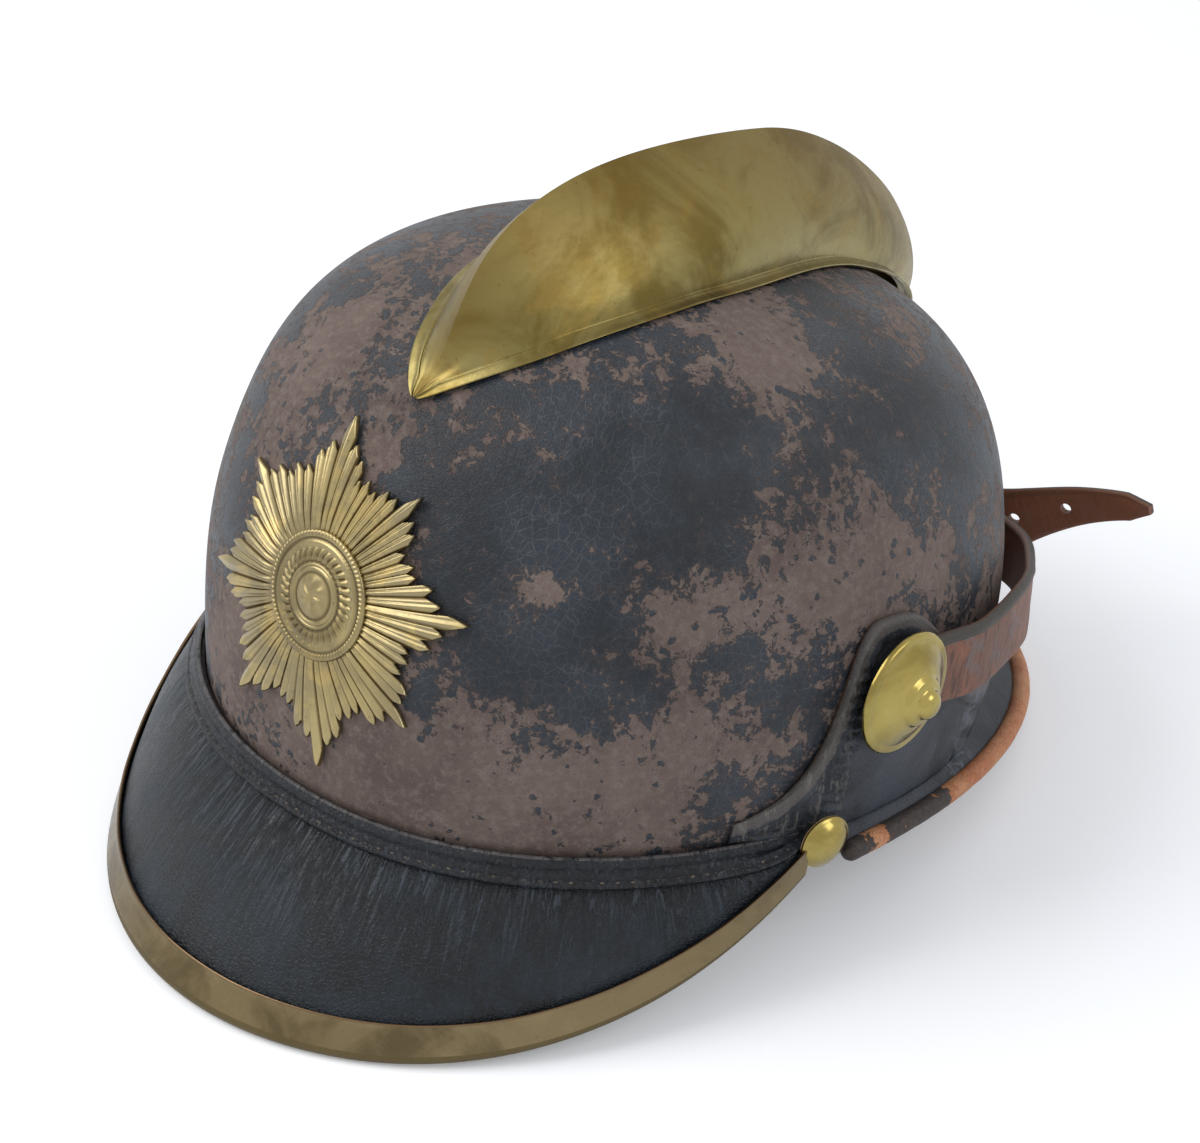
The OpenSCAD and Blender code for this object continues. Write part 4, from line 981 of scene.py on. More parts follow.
@dataclass
class Star:
    """Star plate of 64 fluted rays bent to the skull, with a turned medallion on it."""

    points_r: float = 40.5
    valley_r: float = 31.0
    rays: int = 64
    thick: float = 1.2
    centre_z: float = 93.0
    turn: float = 11.0
    boss_r: float = 15.4
    boss_x: float = 1.5
    # how much each of the eight points is longer, from the top one anticlockwise
    longer: tuple[float, ...] = (1.4, -2.0, 0.8, 1.4, 2.8, -1.6, 2.4, -2.0)

    def __post_init__(self) -> None:
        """Finds the plate's centre on the skull and its own up direction."""
        o, d = np.array([0, 10.0, self.centre_z]), np.array([0, -1.0, 0])
        self.centre = o + d * DOME.reach(o, d)
        self.out = DOME.normal(self.centre)
        self.up = unit(np.cross(self.out, np.array([1.0, 0, 0])))

    def on_skull(self, r: Array, a: Array, off: Array) -> Array:
        """Place r from the centre at angle a in the plate's plane, sent along its normal to the dome."""
        o = (self.centre - 60 * self.out + (r * cosd(a))[..., None] * np.array([1.0, 0, 0])
             + (r * sind(a))[..., None] * self.up)
        return o + self.out * DOME.reach(o, self.out, off)[..., None]

    def ray_end(self, k: Array) -> Array:
        """Length of ray k: longest at the eight points (the four on the skew cross are shorter)."""
        place = (k * 8 / self.rays) % 1
        p = np.abs(place - 0.5) * 2
        far = self.points_r + np.array(self.longer)[np.round(k * 8 / self.rays).astype(int) % 8]
        return mix(self.valley_r, far, p ** 1.8) - (k % 2) * 1.5 - 0.9 * np.sin(k * 2.4) ** 2

    def build_plate(self, finish: Material) -> None:
        """Plate: each ray a flat-topped rib (1 - |2f - 1|^5)^0.8 with a crest and a short pointed end."""
        per = 16
        n = self.rays * per
        i = np.arange(n)
        f = (i % per) / per
        lean = np.abs(2 * f - 1)
        flat = (i / per - 0.5) * 360 / self.rays
        bent = (flat + 180) % 360 - 180
        a = (self.turn + 90 + flat - 4.5 * np.exp(-(bent / 22) ** 2) + 0.5 * np.sin(i // per * 1.9))[:, None]
        ray = i // per
        main = (ray % 8 == 0) * 1.0
        tip = self.ray_end(ray) - (2.6 + 2.6 * main) * lean ** 1.1 - 0.8 * np.abs(f - 0.3) * (ray % 3 == 1)
        share = np.concatenate([np.linspace(1, 0.9, 7), np.linspace(0.88, 0.34, 24), [0.24]])[None, :]
        r = tip[:, None] * share
        fade = smooth((r - 13) / 6)
        rib = (1 - lean ** 5)[:, None] ** 0.8
        crest = np.maximum(0, 1 - np.abs(f - 0.42) / 0.3)[:, None] * (0.25 + 0.3 * main)[:, None]
        crest = crest - 0.22 * np.exp(-((f - 0.66) / 0.07) ** 2)[:, None] * (1 - main)[:, None]
        height = 0.7 + 0.3 * (1 - share) + fade * (0.55 * rib + crest - 0.1)
        height = height + 0.14 * np.sin(ray * 2.4)[:, None] * fade
        outer = self.on_skull(r, a, 2 * GAP + height)
        inner = self.on_skull(r, a, 2 * GAP + 0 * height)
        # The layer rib also sets the finish's painted shade between the rays.
        layers = {"rib": rib * fade + 0.3 * (1 - fade), "reach": r / self.points_r}
        show(wall(outer, inner, True, layers, 0.5, 2), "star_rays", Body.HELMET, finish,
             ["star_plate"], 60)

    def build_medallion(self, finish: Material) -> None:
        """Medallion: twisted rope rim, a band of plain leaves, an inner bead ring and a smooth boss."""
        b = self.boss_r
        base = [(0, 0), (b, 0), (b, 0.35)]
        rope = [(b - 0.9 + 0.9 * math.cos(g), 0.5 + 0.5 * math.sin(g)) for g in np.linspace(0.2, 2.9, 9)]
        steps = [(b - 2.2, 0.55), (b - 2.6, 1.0), (b - 2.95, 1.1), (b - 3.3, 0.95), (b - 3.7, 0.8)]
        band = [(r, 0.8 + 0.08 * math.sin(r)) for r in np.linspace(b - 3.9, b - 7.2, 14)]
        inner = [(b - 7.5, 0.9), (b - 7.8, 1.25), (b - 8.1, 1.3), (b - 8.4, 1.05), (b - 8.7, 1.3),
                 (b - 9.1, 1.35),
                 (b - 9.4, 1.0)]
        boss = [(r, 1.0 + 0.9 * math.cos(r / 5.6 * math.pi / 2) ** 0.8) for r in np.linspace(5.6, 0.4, 12)]
        profile = np.array(base + rope + steps + band + inner + boss + [(0, 1.92)])

        def raised(r: Array) -> Array:
            """How raised the surface is at radius r: 1, less the grooves."""
            low = np.exp(-((r - b + 1.95) / 0.35) ** 2) + np.exp(-((r - b + 7.3) / 0.4) ** 2)
            return 1 - np.clip(low + 0.45 * np.exp(-((r - b + 5.55) / 1.3) ** 2)
                               + np.exp(-((r - b + 9.9) / 0.4) ** 2), 0, 1)

        def relief(t: Array, r: Array) -> Array:
            """Height of rope, ribs and petals at angle t and radius r."""
            on_rope = np.exp(-((r - b + 0.9) / 0.8) ** 2)
            on_band = np.clip(1 - np.abs(r - (b - 5.55)) / 1.75, 0, 1) ** 0.5
            leaf = np.abs(np.sin(16 * t + 0.5 * (r - b + 5.95))) ** 0.7
            ring = 0.16 * on_rope * np.sin(84 * t + 2.6 * r)
            petal = 0.2 * np.clip(1 - np.abs(r - 2.6) / 2.2, 0, 1) * np.cos(6 * t + 0.6 * r)
            return ring + 0.85 * on_band * (leaf - 0.45) + petal

        skin = lathe(profile, self.centre + (3 * GAP + self.thick - 0.35) * self.out + [self.boss_x, 0, 0],
                     self.out,
                     np.array([1.0, 0, 0]), 480, relief)
        level = skin.points - ((skin.points - self.centre) @ self.out)[:, None] * self.out - 60 * self.out
        skin.points = skin.points + (DOME.reach(level, self.out) - 60)[:, None] * self.out
        from_middle = level + 60 * self.out - self.centre - [self.boss_x, 0, 0]
        # The layer raised also sets the finish's painted shade in the grooves.
        skin.layers["raised"] = raised(np.linalg.norm(from_middle, axis=1))
        show(skin, "star_boss", Body.HELMET, finish, ["star_medallion"], 60)


@dataclass
class Rosettes:
    """Pressed brass rosettes over the strap's ends, one on each side."""

    r: float = 15.6
    h: float = 9.6
    sheet: float = 0.8
    y: float = 4.0
    z: float = 66.9
    x: float = 101.2

    def build(self, finish: Material) -> None:
        """Rosette: flat rim, lip, cone with a step, and a stepped knob, hollow behind."""
        r, h = self.r, self.h
        outside = [(r, 0.05), (r, 0.75), (r - 0.5, 1.35), (r - 1.3, 1.55), (r - 2.3, 1.6), (r - 2.9, 2.0),
                   (r - 3.7, 2.45), (0.68 * r, 0.33 * h), (0.58 * r, 0.43 * h), (0.49 * r, 0.5 * h),
                   (0.44 * r, 0.53 * h), (0.405 * r, 0.6 * h), (0.38 * r, 0.66 * h), (0.33 * r, 0.7 * h),
                   (0.27 * r, 0.725 * h), (0.245 * r, 0.775 * h), (0.225 * r, 0.86 * h), (0.18 * r, 0.94 * h),
                   (0.11 * r, 0.985 * h), (0.05 * r, 0.998 * h), (0, h)]
        turned = soft_profile(outside, 5, 0.42)
        back = np.array([(0, 0.5 * h), (0.25 * r, 0.5 * h), (0.5 * r, 0.3 * h), (r - 4.6, 1.3),
                         (r - 1.2, 0.05)])
        profile = np.concatenate([back, turned])
        for side, name in ((1.0, "left"), (-1.0, "right")):
            skin = lathe(profile, np.array([side * self.x, self.y, self.z]), np.array([side, 0, 0]),
                         np.array([0, 0, 1.0]), 128)
            show(skin, f"rosette_{name}_turned", Body.HELMET, finish, [f"rosette_{name}"], 35)


@dataclass
class ChinStrap:
    """Strap of two halves from the rosettes round the back, its keeper and its free end."""

    width: float = 20.0
    thick: float = 2.2
    off: float = 12.0
    stand: float = 7.0
    drop: float = 6.0
    rear_z: float = 28.0
    flat: float = 30.0
    tail_reach: float = 84.0
    tail_rise: float = 24.0
    tail_y: float = 10.4
    tip_w: float = 7.0
    hole_r: float = 1.6
    wire_r: float = 1.3
    prong_r: float = 1.0
    buckle_len: float = 15.0
    keeper_w: float = 8.0
    keeper_t: float = 1.5
    keeper_x: float = 21.0
    rosette_y: float = 4.0
    rosette_z: float = 66.9

    def __post_init__(self) -> None:
        """Works out how far out the strap lies, as the CAD source does."""
        a = np.arange(0, 360, 30)
        o = vec(0.0, self.rosette_y + 10 * cosd(a), self.rosette_z + 10 * sind(a))
        lobe_x = DOME.reach(o, np.array([1.0, 0, 0]), GAP + 2.2).max()
        self.x = lobe_x + GAP + self.thick / 2
        back = DOME.reach(np.array([0, DOME.y, self.rear_z]), np.array([0, 1.0, 0]))
        self.rear_y = float(DOME.y + back + self.off + self.thick / 2)
        self.bar_y = self.rear_y - self.thick / 2 - 0.15 - self.wire_r
        self.billet_y = self.rear_y + self.thick + GAP

    @property
    def rosette_x(self) -> float:
        """Plane of the rosettes' backs."""
        return float(self.x + self.thick / 2 + GAP)

    def on_side(self, f: Array) -> Array:
        """Strap's middle beside the skull, at the angle f behind the rosette's axis."""
        z = mix(self.rosette_z - self.drop * smooth(f / 24), self.rear_z, smooth((f - 20) / 55))
        o, d = vec(0.0, self.rosette_y, z), vec(cosd(f), sind(f), 0.0)
        return o + DOME.reach(o, d, self.stand)[..., None] * d

    def line(self, y: float) -> Array:
        """Middle line of the left half: past the rosette, round the side and into the rear stretch."""
        p = self.on_side(np.array(42.0))
        d = unit(p - self.on_side(np.array(41.0)))
        q = np.array([self.flat, y, self.rear_z])
        k = np.array([0.0, 8.0, 16.0])
        start = vec(self.x, self.rosette_y + k, self.rosette_z - k / 10)
        side = self.on_side(np.arange(14.0, 43.0, 4.0))
        end = bezier([p, p + 20 * d, q + [28, 0, 2], q], np.arange(1, 11) / 10)
        return np.concatenate([start, side, end])

    def tail(self, t: Array) -> Array:
        """Free end's middle line: straight on, then up and out to the wearer's left."""
        x, y, z = self.flat, self.billet_y, self.rear_z
        reach, rise = self.tail_reach, self.tail_rise
        return bezier([np.array(p)
                       for p in ((x, y, z), (x + 15, y, z + 5), (reach - 29, y + self.tail_y, z + rise - 8),
                                             (reach, y + self.tail_y - 1, z + rise - 1))], t)

    def strip(self, path: Array, width: Array, side: float, top_roll: float = 0.5) -> Skin:
        """Strap along a path: section y = t/2 sqrt(1 - |q|^12) over q = -1..1, fuller at its upper edge."""
        step = np.gradient(path, axis=0)
        t = unit(step)
        out = side * unit(vec(t[:, 1], -t[:, 0], 0.0))
        up = side * np.cross(out, t)
        q = np.sin(np.radians(np.linspace(-90, 90, 25)))
        ring_q = np.concatenate([q, q[-2:0:-1]])
        face = np.concatenate([np.ones(25), -np.ones(23)])
        swell = 1 + top_roll * np.exp(-((ring_q - 0.9) / 0.1) ** 2)
        swell = swell - 0.12 * np.exp(-((ring_q - 0.72) / 0.06) ** 2)
        y = face * self.thick / 2 * np.sqrt(np.maximum(0, 1 - np.abs(ring_q) ** 12)) * swell
        section = np.stack([ring_q[None] * width[:, None] / 2, np.broadcast_to(y, (len(path), 48))], -1)
        run = np.r_[0, np.cumsum(np.linalg.norm(np.diff(path, axis=0), axis=1))][:, None]
        section[..., 1] += 0.1 * ripple(run / 7, ring_q[None] * 3, 0.5)
        layers = {"across": ring_q[None], "run": run, "inside": (1 - face[None]) / 2}
        return tube(path, up, out, section, layers=layers)

    def finished_path(self, points: Array, widths: Array) -> tuple[Array, Array]:
        """Finer path and widths, with a half-round end of the strap's width round the rosette's post."""
        path = through(points, 6)
        for _ in range(26):
            path[1:-1] = (path[:-2] + 2 * path[1:-1] + path[2:]) / 4
        wide = np.interp(np.linspace(0, len(points) - 1, len(path)), np.arange(len(points)), widths)
        back = np.linspace(-0.99, -0.1, 10)
        direction = unit(path[1] - path[0])
        lead = path[0] + back[:, None] * self.width / 2 * direction
        return (np.concatenate([lead, path]),
                np.concatenate([self.width * np.sqrt(1 - back ** 2), wide]))

    def build_left(self, finish: Material) -> None:
        """Left half: it folds round the buckle's bar in two tongues beside the prong."""
        line = np.concatenate([self.line(self.rear_y),
                               [[14.0, self.rear_y, self.rear_z], [5.0, self.rear_y, self.rear_z]]])
        path, wide = self.finished_path(line, np.full(len(line), self.width))
        parts = [self.strip(path, wide, 1.0)]
        g = np.radians(np.linspace(90, 270, 15))
        r = self.wire_r + 0.15 + self.thick / 2
        turn = vec(r * np.cos(g), self.bar_y + r * np.sin(g), self.rear_z)
        back = self.rear_y - self.thick - 0.15
        lap = np.array([[3.0, self.bar_y - r + 0.5, self.rear_z], [7.0, back - 0.1, self.rear_z],
                        [12.0, back, self.rear_z], [19.0, back, self.rear_z]])
        fold = np.concatenate([[[5.2, self.rear_y, self.rear_z]], turn, through(lap, 3)])
        slot = self.prong_r + 0.6
        w = self.width / 2 - slot
        for s in (-1.0, 1.0):
            shifted = fold + np.array([0, 0, s * (slot + w / 2)])
            parts.append(self.strip(shifted, np.full(len(shifted), w), 1.0, 0.0))
        show(join(parts), "strap_left_half", Body.STRAP, finish, ["strap_left"], 50)

    def build_right(self, finish: Material) -> None:
        """Right half with the billet: it passes the buckle and ends in the tapered, pierced free end."""
        rear = self.line(self.billet_y) * np.array([-1.0, 1, 1])
        t = np.linspace(0, 1, 13)
        line = np.concatenate([rear, self.tail(t)[1:]])
        tip = np.where(t > 0.93, mix(1.15 * self.tip_w, 0.4 * self.tip_w, (t - 0.93) / 0.07),
                       mix(self.width, 1.15 * self.tip_w, np.clip((t - 0.3) / 0.63, 0, 1) ** 0.75))
        path, wide = self.finished_path(line, np.concatenate([np.full(len(rear), self.width), tip[1:]]))
        body = self.strip(path, wide, -1.0, 0.15)
        tools = []
        for share in (0.35, 0.64):
            p, d = self.tail(np.array(share)), self.tail(np.array(share + 0.01)) - self.tail(np.array(share))
            axis = unit(np.array([-d[1], d[0], 0.0]))
            tools.append(lathe(np.array([(0, -6), (self.hole_r, -6), (self.hole_r, 6), (0, 6)], float), p,
                               axis,
                               np.array([0, 0, 1.0]), 28))
        run = self.wire_r + self.prong_r + GAP
        rail = np.array([-self.buckle_len, self.billet_y + self.thick / 2 + GAP + self.wire_r - self.bar_y])
        angle = math.atan2(rail[1], self.buckle_len) + math.asin(run / float(np.linalg.norm(rail)))
        mid_x = -(self.billet_y - self.bar_y) / math.tan(angle) + 0.5
        slot = circle(24, self.prong_r + 0.35) + np.sign(circle(24))[:, :1] * np.array([2.9, 0])
        tools.append(tube(vec(mid_x, self.billet_y + np.array([-5.0, 5.0]), self.rear_z),
                          np.tile([1.0, 0, 0], (2, 1)), np.tile([0.0, 0, 1], (2, 1)), slot))
        show(carve(body, tools), "strap_right_half", Body.STRAP, finish, ["strap_right"], 50)

    def build_keeper(self, finish: Material) -> None:
        """Keeper: a leather loop round both halves, its section a box with round corners."""
        inner = np.array([2 * self.thick + 3 * GAP, self.width + 2 * GAP]) / 2
        g = np.linspace(0, 2 * np.pi, 96, endpoint=False)
        form = np.stack([power(np.cos(g), 0.22), power(np.sin(g), 0.22)], -1)
        centre = np.array([self.keeper_x, (self.rear_y + self.billet_y) / 2, self.rear_z])
        x = np.linspace(-1, 1, 13)

        def rows(grow: float) -> Array:
            """Loop's section, wider by grow than the strap's."""
            ring = form * (inner + grow)
            crown = 0.15 * (1 - x ** 4) * (grow > 0)
            yz = ring[:, None] * (1 + crown[None, :, None] / (inner + 1))
            return centre + vec(x[None] * self.keeper_w / 2, yz[..., 0], yz[..., 1])

        layers = {"across": np.broadcast_to(x[None], (96, 13)),
                  "run": np.broadcast_to(np.degrees(g)[:, None] / 3, (96, 13))}
        show(wall(rows(self.keeper_t - 0.15), rows(0.0), True, layers), "strap_loop", Body.KEEPER,
             finish, ["strap_keeper"])


@dataclass
class Lining:
    """Sweatband, eight tongues that rise to the crown, and the drawstring that gathers them."""

    band_h: float = 27.0
    band_t: float = 1.4
    band_off: float = -6.2
    liner_t: float = 1.2
    liner_off: float = -14.0
    tongues: int = 8
    ring_r: float = 33.0
    cord_r: float = 1.5
    rim_drop: float = 7.0

    def __post_init__(self) -> None:
        """Height share of the gathered opening in the crown."""
        e = DOME.dome_e
        self.ring_h = (1 - (self.ring_r / (DOME.half_w + self.liner_off)) ** e) ** (1 / e)

    def build_band(self, finish: Material, thread: Material) -> None:
        """Sweatband: it follows the rim inside, with soft puckers, and is sewn along its lower edge."""
        a = np.linspace(0, 360, 240, endpoint=False)[:, None]
        up = np.linspace(0, 1, 14)[None, :]
        rise = mix(2 - self.rim_drop, self.band_h - self.rim_drop + 2, up)
        pucker = 0.3 * ripple(np.radians(a) * 9, up * 4, 0.6) * up
        outer = DOME.on_seam(a, rise, self.band_off + pucker)
        inner = DOME.on_seam(a, rise, self.band_off - self.band_t + pucker)
        layers = {"across": np.broadcast_to(up, (240, 14))}
        show(wall(outer, inner, True, layers), "sweatband_leather", Body.HELMET, finish,
             ["sweatband"])
        ring = np.linspace(0, 360, 400)
        line = DOME.on_seam(ring, 4 - self.rim_drop, self.band_off - self.band_t - 0.1)
        show(seam_thread(line, -DOME.normal(line), 4.4, 3.0, 0.8), "sweatband_thread", Body.HELMET,
             thread)

    def build_tongues(self, finish: Material) -> None:
        """Tongues: each starts inside the band, goes to its own distance at once and narrows to the crown."""
        half = 180 / self.tongues
        u = np.linspace(-1, 1, 25)[:, None]
        v = np.concatenate([[0, 0.012, 0.025, 0.04], np.linspace(0.055, 0.98, 34)])[None, :]

        def rows(k: int, d: float) -> Array:
            """One side of tongue k, d inside the lining's face."""
            off = mix(self.band_off - self.band_t - GAP, self.liner_off, smooth(v / 0.05)) - d
            narrow = 1 - 0.25 * smooth((v - 0.9) / 0.08) * u ** 2
            a = 2 * half * k + u * (half - 1.2) * (1 - 0.5 * v ** 5) * narrow
            h0 = DOME.h_seam(a, self.band_h - self.rim_drop - 4, off + 0 * a)
            sag = 0.5 * ripple(u * 2 + k, v * 5, k * 0.9) * smooth((v - 0.1) / 0.2)
            return DOME.point(a, mix(self.ring_h, h0, (1 - v) ** 1.6), off + sag)

        parts = [wall(rows(k, 0.0), rows(k, self.liner_t),
                      layers={"across": np.broadcast_to(v, (25, v.size))})
                 for k in range(self.tongues)]
        show(join(parts), "lining_tongues", Body.HELMET, finish, ["crown_lining"])

    def build_cord(self, finish: Material) -> None:
        """Drawstring: three strands of radius 0.7 wound about the ring, one turn in about 9 mm."""
        off = self.liner_off - self.liner_t - GAP - self.cord_r
        a = np.linspace(0, 360, 480, endpoint=False)
        c = DOME.point(a, self.ring_h - 0.01, off)
        t = unit(DOME.point(a + 1, self.ring_h - 0.01, off) - DOME.point(a - 1, self.ring_h - 0.01, off))
        u = unit(np.cross(np.array([0, 0, 1.0]), t))
        v = np.cross(t, u)
        parts = []
        for strand in range(3):
            g = np.radians(a * 20 + strand * 120)[:, None]
            parts.append(tube(c + 0.76 * (np.cos(g) * u + np.sin(g) * v), u, v, circle(8, 0.72), True,
                              {"run": a[:, None]}))
        show(join(parts), "drawstring", Body.HELMET, finish, ["lining_cord"])


# Shader groups and finishes


class Graph:
    """Short hand for adding nodes to a shader tree."""

    def __init__(self, tree: bpy.types.NodeTree) -> None:
        """Keeps the tree that nodes go into."""
        self.tree = tree

    def add(self, kind: str, ins: Optional[dict[Any, Any]] = None, **settings: Any) -> bpy.types.Node:
        """Adds a node, its kind named without ShaderNode; a socket in ins is linked, other values are set."""
        node = self.tree.nodes.new(kind if kind.startswith("NodeGroup") else "ShaderNode" + kind)
        for key, value in settings.items():
            setattr(node, key, value)
        for key, value in (ins or {}).items():
            if isinstance(value, Socket):
                self.tree.links.new(value, node.inputs[key])
            else:
                node.inputs[key].default_value = value
        return node

    def math(self, operation: str, a: Any, b: Any = 0.0) -> Socket:
        """Math node of two inputs."""
        return self.add("Math", {0: a, 1: b}, operation=operation).outputs[0]

    def times(self, a: Any, b: Any) -> Socket:
        """Product of a and b."""
        return self.math("MULTIPLY", a, b)

    def plus(self, a: Any, b: Any) -> Socket:
        """Sum of a and b."""
        return self.math("ADD", a, b)

    def minus(self, a: Any, b: Any) -> Socket:
        """Difference a less b."""
        return self.math("SUBTRACT", a, b)

    def blend(self, share: Any, a: Any, b: Any) -> Socket:
        """Colour mix of a and b."""
        return self.add("Mix", {0: share, 6: a, 7: b}, data_type="RGBA", blend_type="MIX").outputs[2]

    def step(self, value: Any, low: float, high: float, a: float = 0.0, b: float = 1.0) -> Socket:
        """Soft step of a value from low to high, given as a to b."""
        return self.add("MapRange", {0: value, 1: low, 2: high, 3: a, 4: b},
                        interpolation_type="SMOOTHSTEP").outputs[0]

    def noise(self, at: Socket, mm: float, detail: float = 4.0, rough: float = 0.55,
              bend: float = 0.0) -> Socket:
        """Noise with features of about mm millimetres."""
        return self.add("TexNoise", {"Vector": at, "Scale": 1000 / mm, "Detail": detail,
                                     "Roughness": rough, "Distortion": bend}).outputs[0]

    def cells(self, at: Socket, mm: float) -> Socket:
        """Cells of about mm millimetres: the distance to their points."""
        return self.add("TexVoronoi", {"Vector": at, "Scale": 1000 / mm}, feature="F1").outputs["Distance"]

    def border(self, at: Socket, scale: Any) -> Socket:
        """Distance to the borders of cells at a scale in cells per metre."""
        return self.add("TexVoronoi", {"Vector": at, "Scale": scale},
                        feature="DISTANCE_TO_EDGE").outputs["Distance"]

    def between(self, share: Any, a: Any, b: Any) -> Socket:
        """Number between a and b."""
        return self.add("Mix", {0: share, 2: a, 3: b}, data_type="FLOAT").outputs[0]

    def stretched(self, at: Socket, scale: tuple[float, float, float]) -> Socket:
        """Vector multiplied side by side."""
        return self.add("VectorMath", {0: at, 1: scale}, operation="MULTIPLY").outputs[0]

    def warped(self, at: Socket, mm: float, by: float) -> Socket:
        """Vector pushed about by up to by millimetres, with noise of mm millimetres."""
        push = self.add("TexNoise", {"Vector": at, "Scale": 1000 / mm, "Detail": 2.0}).outputs[1]
        centred = self.add("VectorMath", {0: push, 1: (0.5, 0.5, 0.5)}, operation="SUBTRACT").outputs[0]
        return self.add("VectorMath", {0: centred, 1: (by / 500,) * 3, 2: at},
                        operation="MULTIPLY_ADD").outputs[0]

    def layer(self, name: str) -> Socket:
        """A number stored on the mesh."""
        return self.add("Attribute", attribute_name=name).outputs["Fac"]

    def here(self) -> Socket:
        """Object coordinates, which are metres in the helmet's frame."""
        return self.add("TexCoord").outputs["Object"]

    def bump(self, height: Any, mm: float) -> Socket:
        """Normal from a height of up to mm millimetres."""
        return self.add("Bump", {"Strength": 1.0, "Distance": mm / 1000, "Height": height}).outputs[0]


GROUPS: dict[str, bpy.types.NodeTree] = {}


def make_group(name: str, inputs: dict[str, Any], outputs: Sequence[str],
               fill: Callable[[Graph, Any], Sequence[Socket]]) -> None:
    """Builds a shader group once.

    Args:
        name: name of the group.
        inputs: input names with default numbers; None makes a vector input.
        outputs: names of the number outputs.
        fill: adds the nodes and returns one socket for each output.
    """
    tree = bpy.data.node_groups.new(name, "ShaderNodeTree")
    for key, value in inputs.items():
        kind = "NodeSocketVector" if value is None else "NodeSocketFloat"
        socket = tree.interface.new_socket(key, in_out="INPUT", socket_type=kind)
        if value is not None:
            socket.default_value = value
    for key in outputs:
        tree.interface.new_socket(key, in_out="OUTPUT", socket_type="NodeSocketFloat")
    g = Graph(tree)
    source = g.add("NodeGroupInput").outputs
    g.add("NodeGroupOutput", dict(zip(outputs, fill(g, source))))
    GROUPS[name] = tree


def build_groups() -> None:
    """Builds the shader groups that the finishes share."""

    def leather_grain(g: Graph, s: Any) -> Sequence[Socket]:
        """Pebbles between the borders of small cells, less a few pores."""
        scale = g.math("DIVIDE", 1000.0, s["Size"])
        at = g.warped(s["Vector"], 2.5, 0.5)
        edge = g.border(at, scale)
        fine = g.add("TexNoise", {"Vector": s["Vector"], "Scale": g.times(scale, 2.2),
                                  "Detail": 3.0}).outputs[0]
        pores = g.minus(1.0, g.step(fine, 0.3, 0.42))
        height = g.plus(g.times(g.step(edge, 0.0, 0.22), 0.7), g.times(fine, 0.5))
        return [g.minus(height, g.times(pores, 0.25)), pores]

    def ragged(g: Graph, s: Any) -> Sequence[Socket]:
        """Paint left where two noises and the cover add up to a half; specks stay in the bare part."""
        at = g.warped(s["Vector"], 9, 2.2)
        big = g.noise(at, 12, 10, 0.72, 0.3)
        small = g.noise(s["Vector"], 3.2, 8, 0.72, 0.6)
        field_ = g.plus(g.times(big, 0.6), g.times(small, 0.4))
        level = g.plus(field_, g.times(g.minus(s["Cover"], 0.5), 0.34))
        specks = g.step(g.cells(g.warped(s["Vector"], 1.6, 1.0), 5.2), 0.24, 0.14, 0.0, 0.09)
        total = g.plus(level, specks)
        mask = g.step(total, 0.492, 0.508)
        lip = g.times(g.step(total, 0.47, 0.5), g.step(total, 0.55, 0.508))
        return [mask, lip, field_]

    def cracks(g: Graph, s: Any) -> Sequence[Socket]:
        """Thin lines along the borders of warped cells in two sizes."""
        scale = g.math("DIVIDE", 1000.0, s["Size"])
        at = g.warped(s["Vector"], 3.0, 1.1)
        wide, fine = g.border(at, scale), g.border(at, g.times(scale, 2.3))
        first = g.minus(1.0, g.step(wide, 0.0, 0.05))
        second = g.times(g.minus(1.0, g.step(fine, 0.0, 0.06)), 0.5)
        return [g.math("MAXIMUM", first, second)]

    def tarnish(g: Graph, s: Any) -> Sequence[Socket]:
        """Wide clouds, smaller blots, specks and a fine rubbed texture."""
        cloud = g.step(g.noise(s["Vector"], 34, 5, 0.6, 0.8), 0.38, 0.6)
        blot = g.step(g.noise(s["Vector"], 11, 7, 0.65, 0.4), 0.5, 0.66)
        speck = g.step(g.noise(s["Vector"], 1.5, 5, 0.6), 0.62, 0.72)
        rub = g.noise(g.stretched(s["Vector"], (1.0, 0.25, 1.0)), 1.3, 5, 0.6)
        return [cloud, blot, speck, rub]

    def wear(g: Graph, s: Any) -> Sequence[Socket]:
        """Ragged mask where the nearness to an edge wins over noise."""
        rough = g.noise(s["Vector"], 2.6, 7, 0.68, 0.3)
        return [g.step(g.plus(s["Nearness"], g.minus(rough, 0.5)), 0.62, 0.78)]

    make_group("leather_grain", {"Vector": None, "Size": 1.0}, ["Height", "Pores"], leather_grain)
    make_group("ragged_paint", {"Vector": None, "Cover": 0.5}, ["Mask", "Lip", "Field"], ragged)
    make_group("fine_cracks", {"Vector": None, "Size": 3.0}, ["Line"], cracks)
    make_group("brass_tarnish", {"Vector": None}, ["Cloud", "Blot", "Speck", "Rub"], tarnish)
    make_group("edge_wear", {"Vector": None, "Nearness": 0.0}, ["Mask"], wear)


def rgb(r: int, g: int, b: int) -> Colour:
    """Colour from 0..255 display values, as the linear values that a shader takes."""
    def one(c: float) -> float:
        """Linear value of one display value."""
        c /= 255
        return c / 12.92 if c <= 0.04045 else ((c + 0.055) / 1.055) ** 2.4
    return one(r), one(g), one(b), 1.0


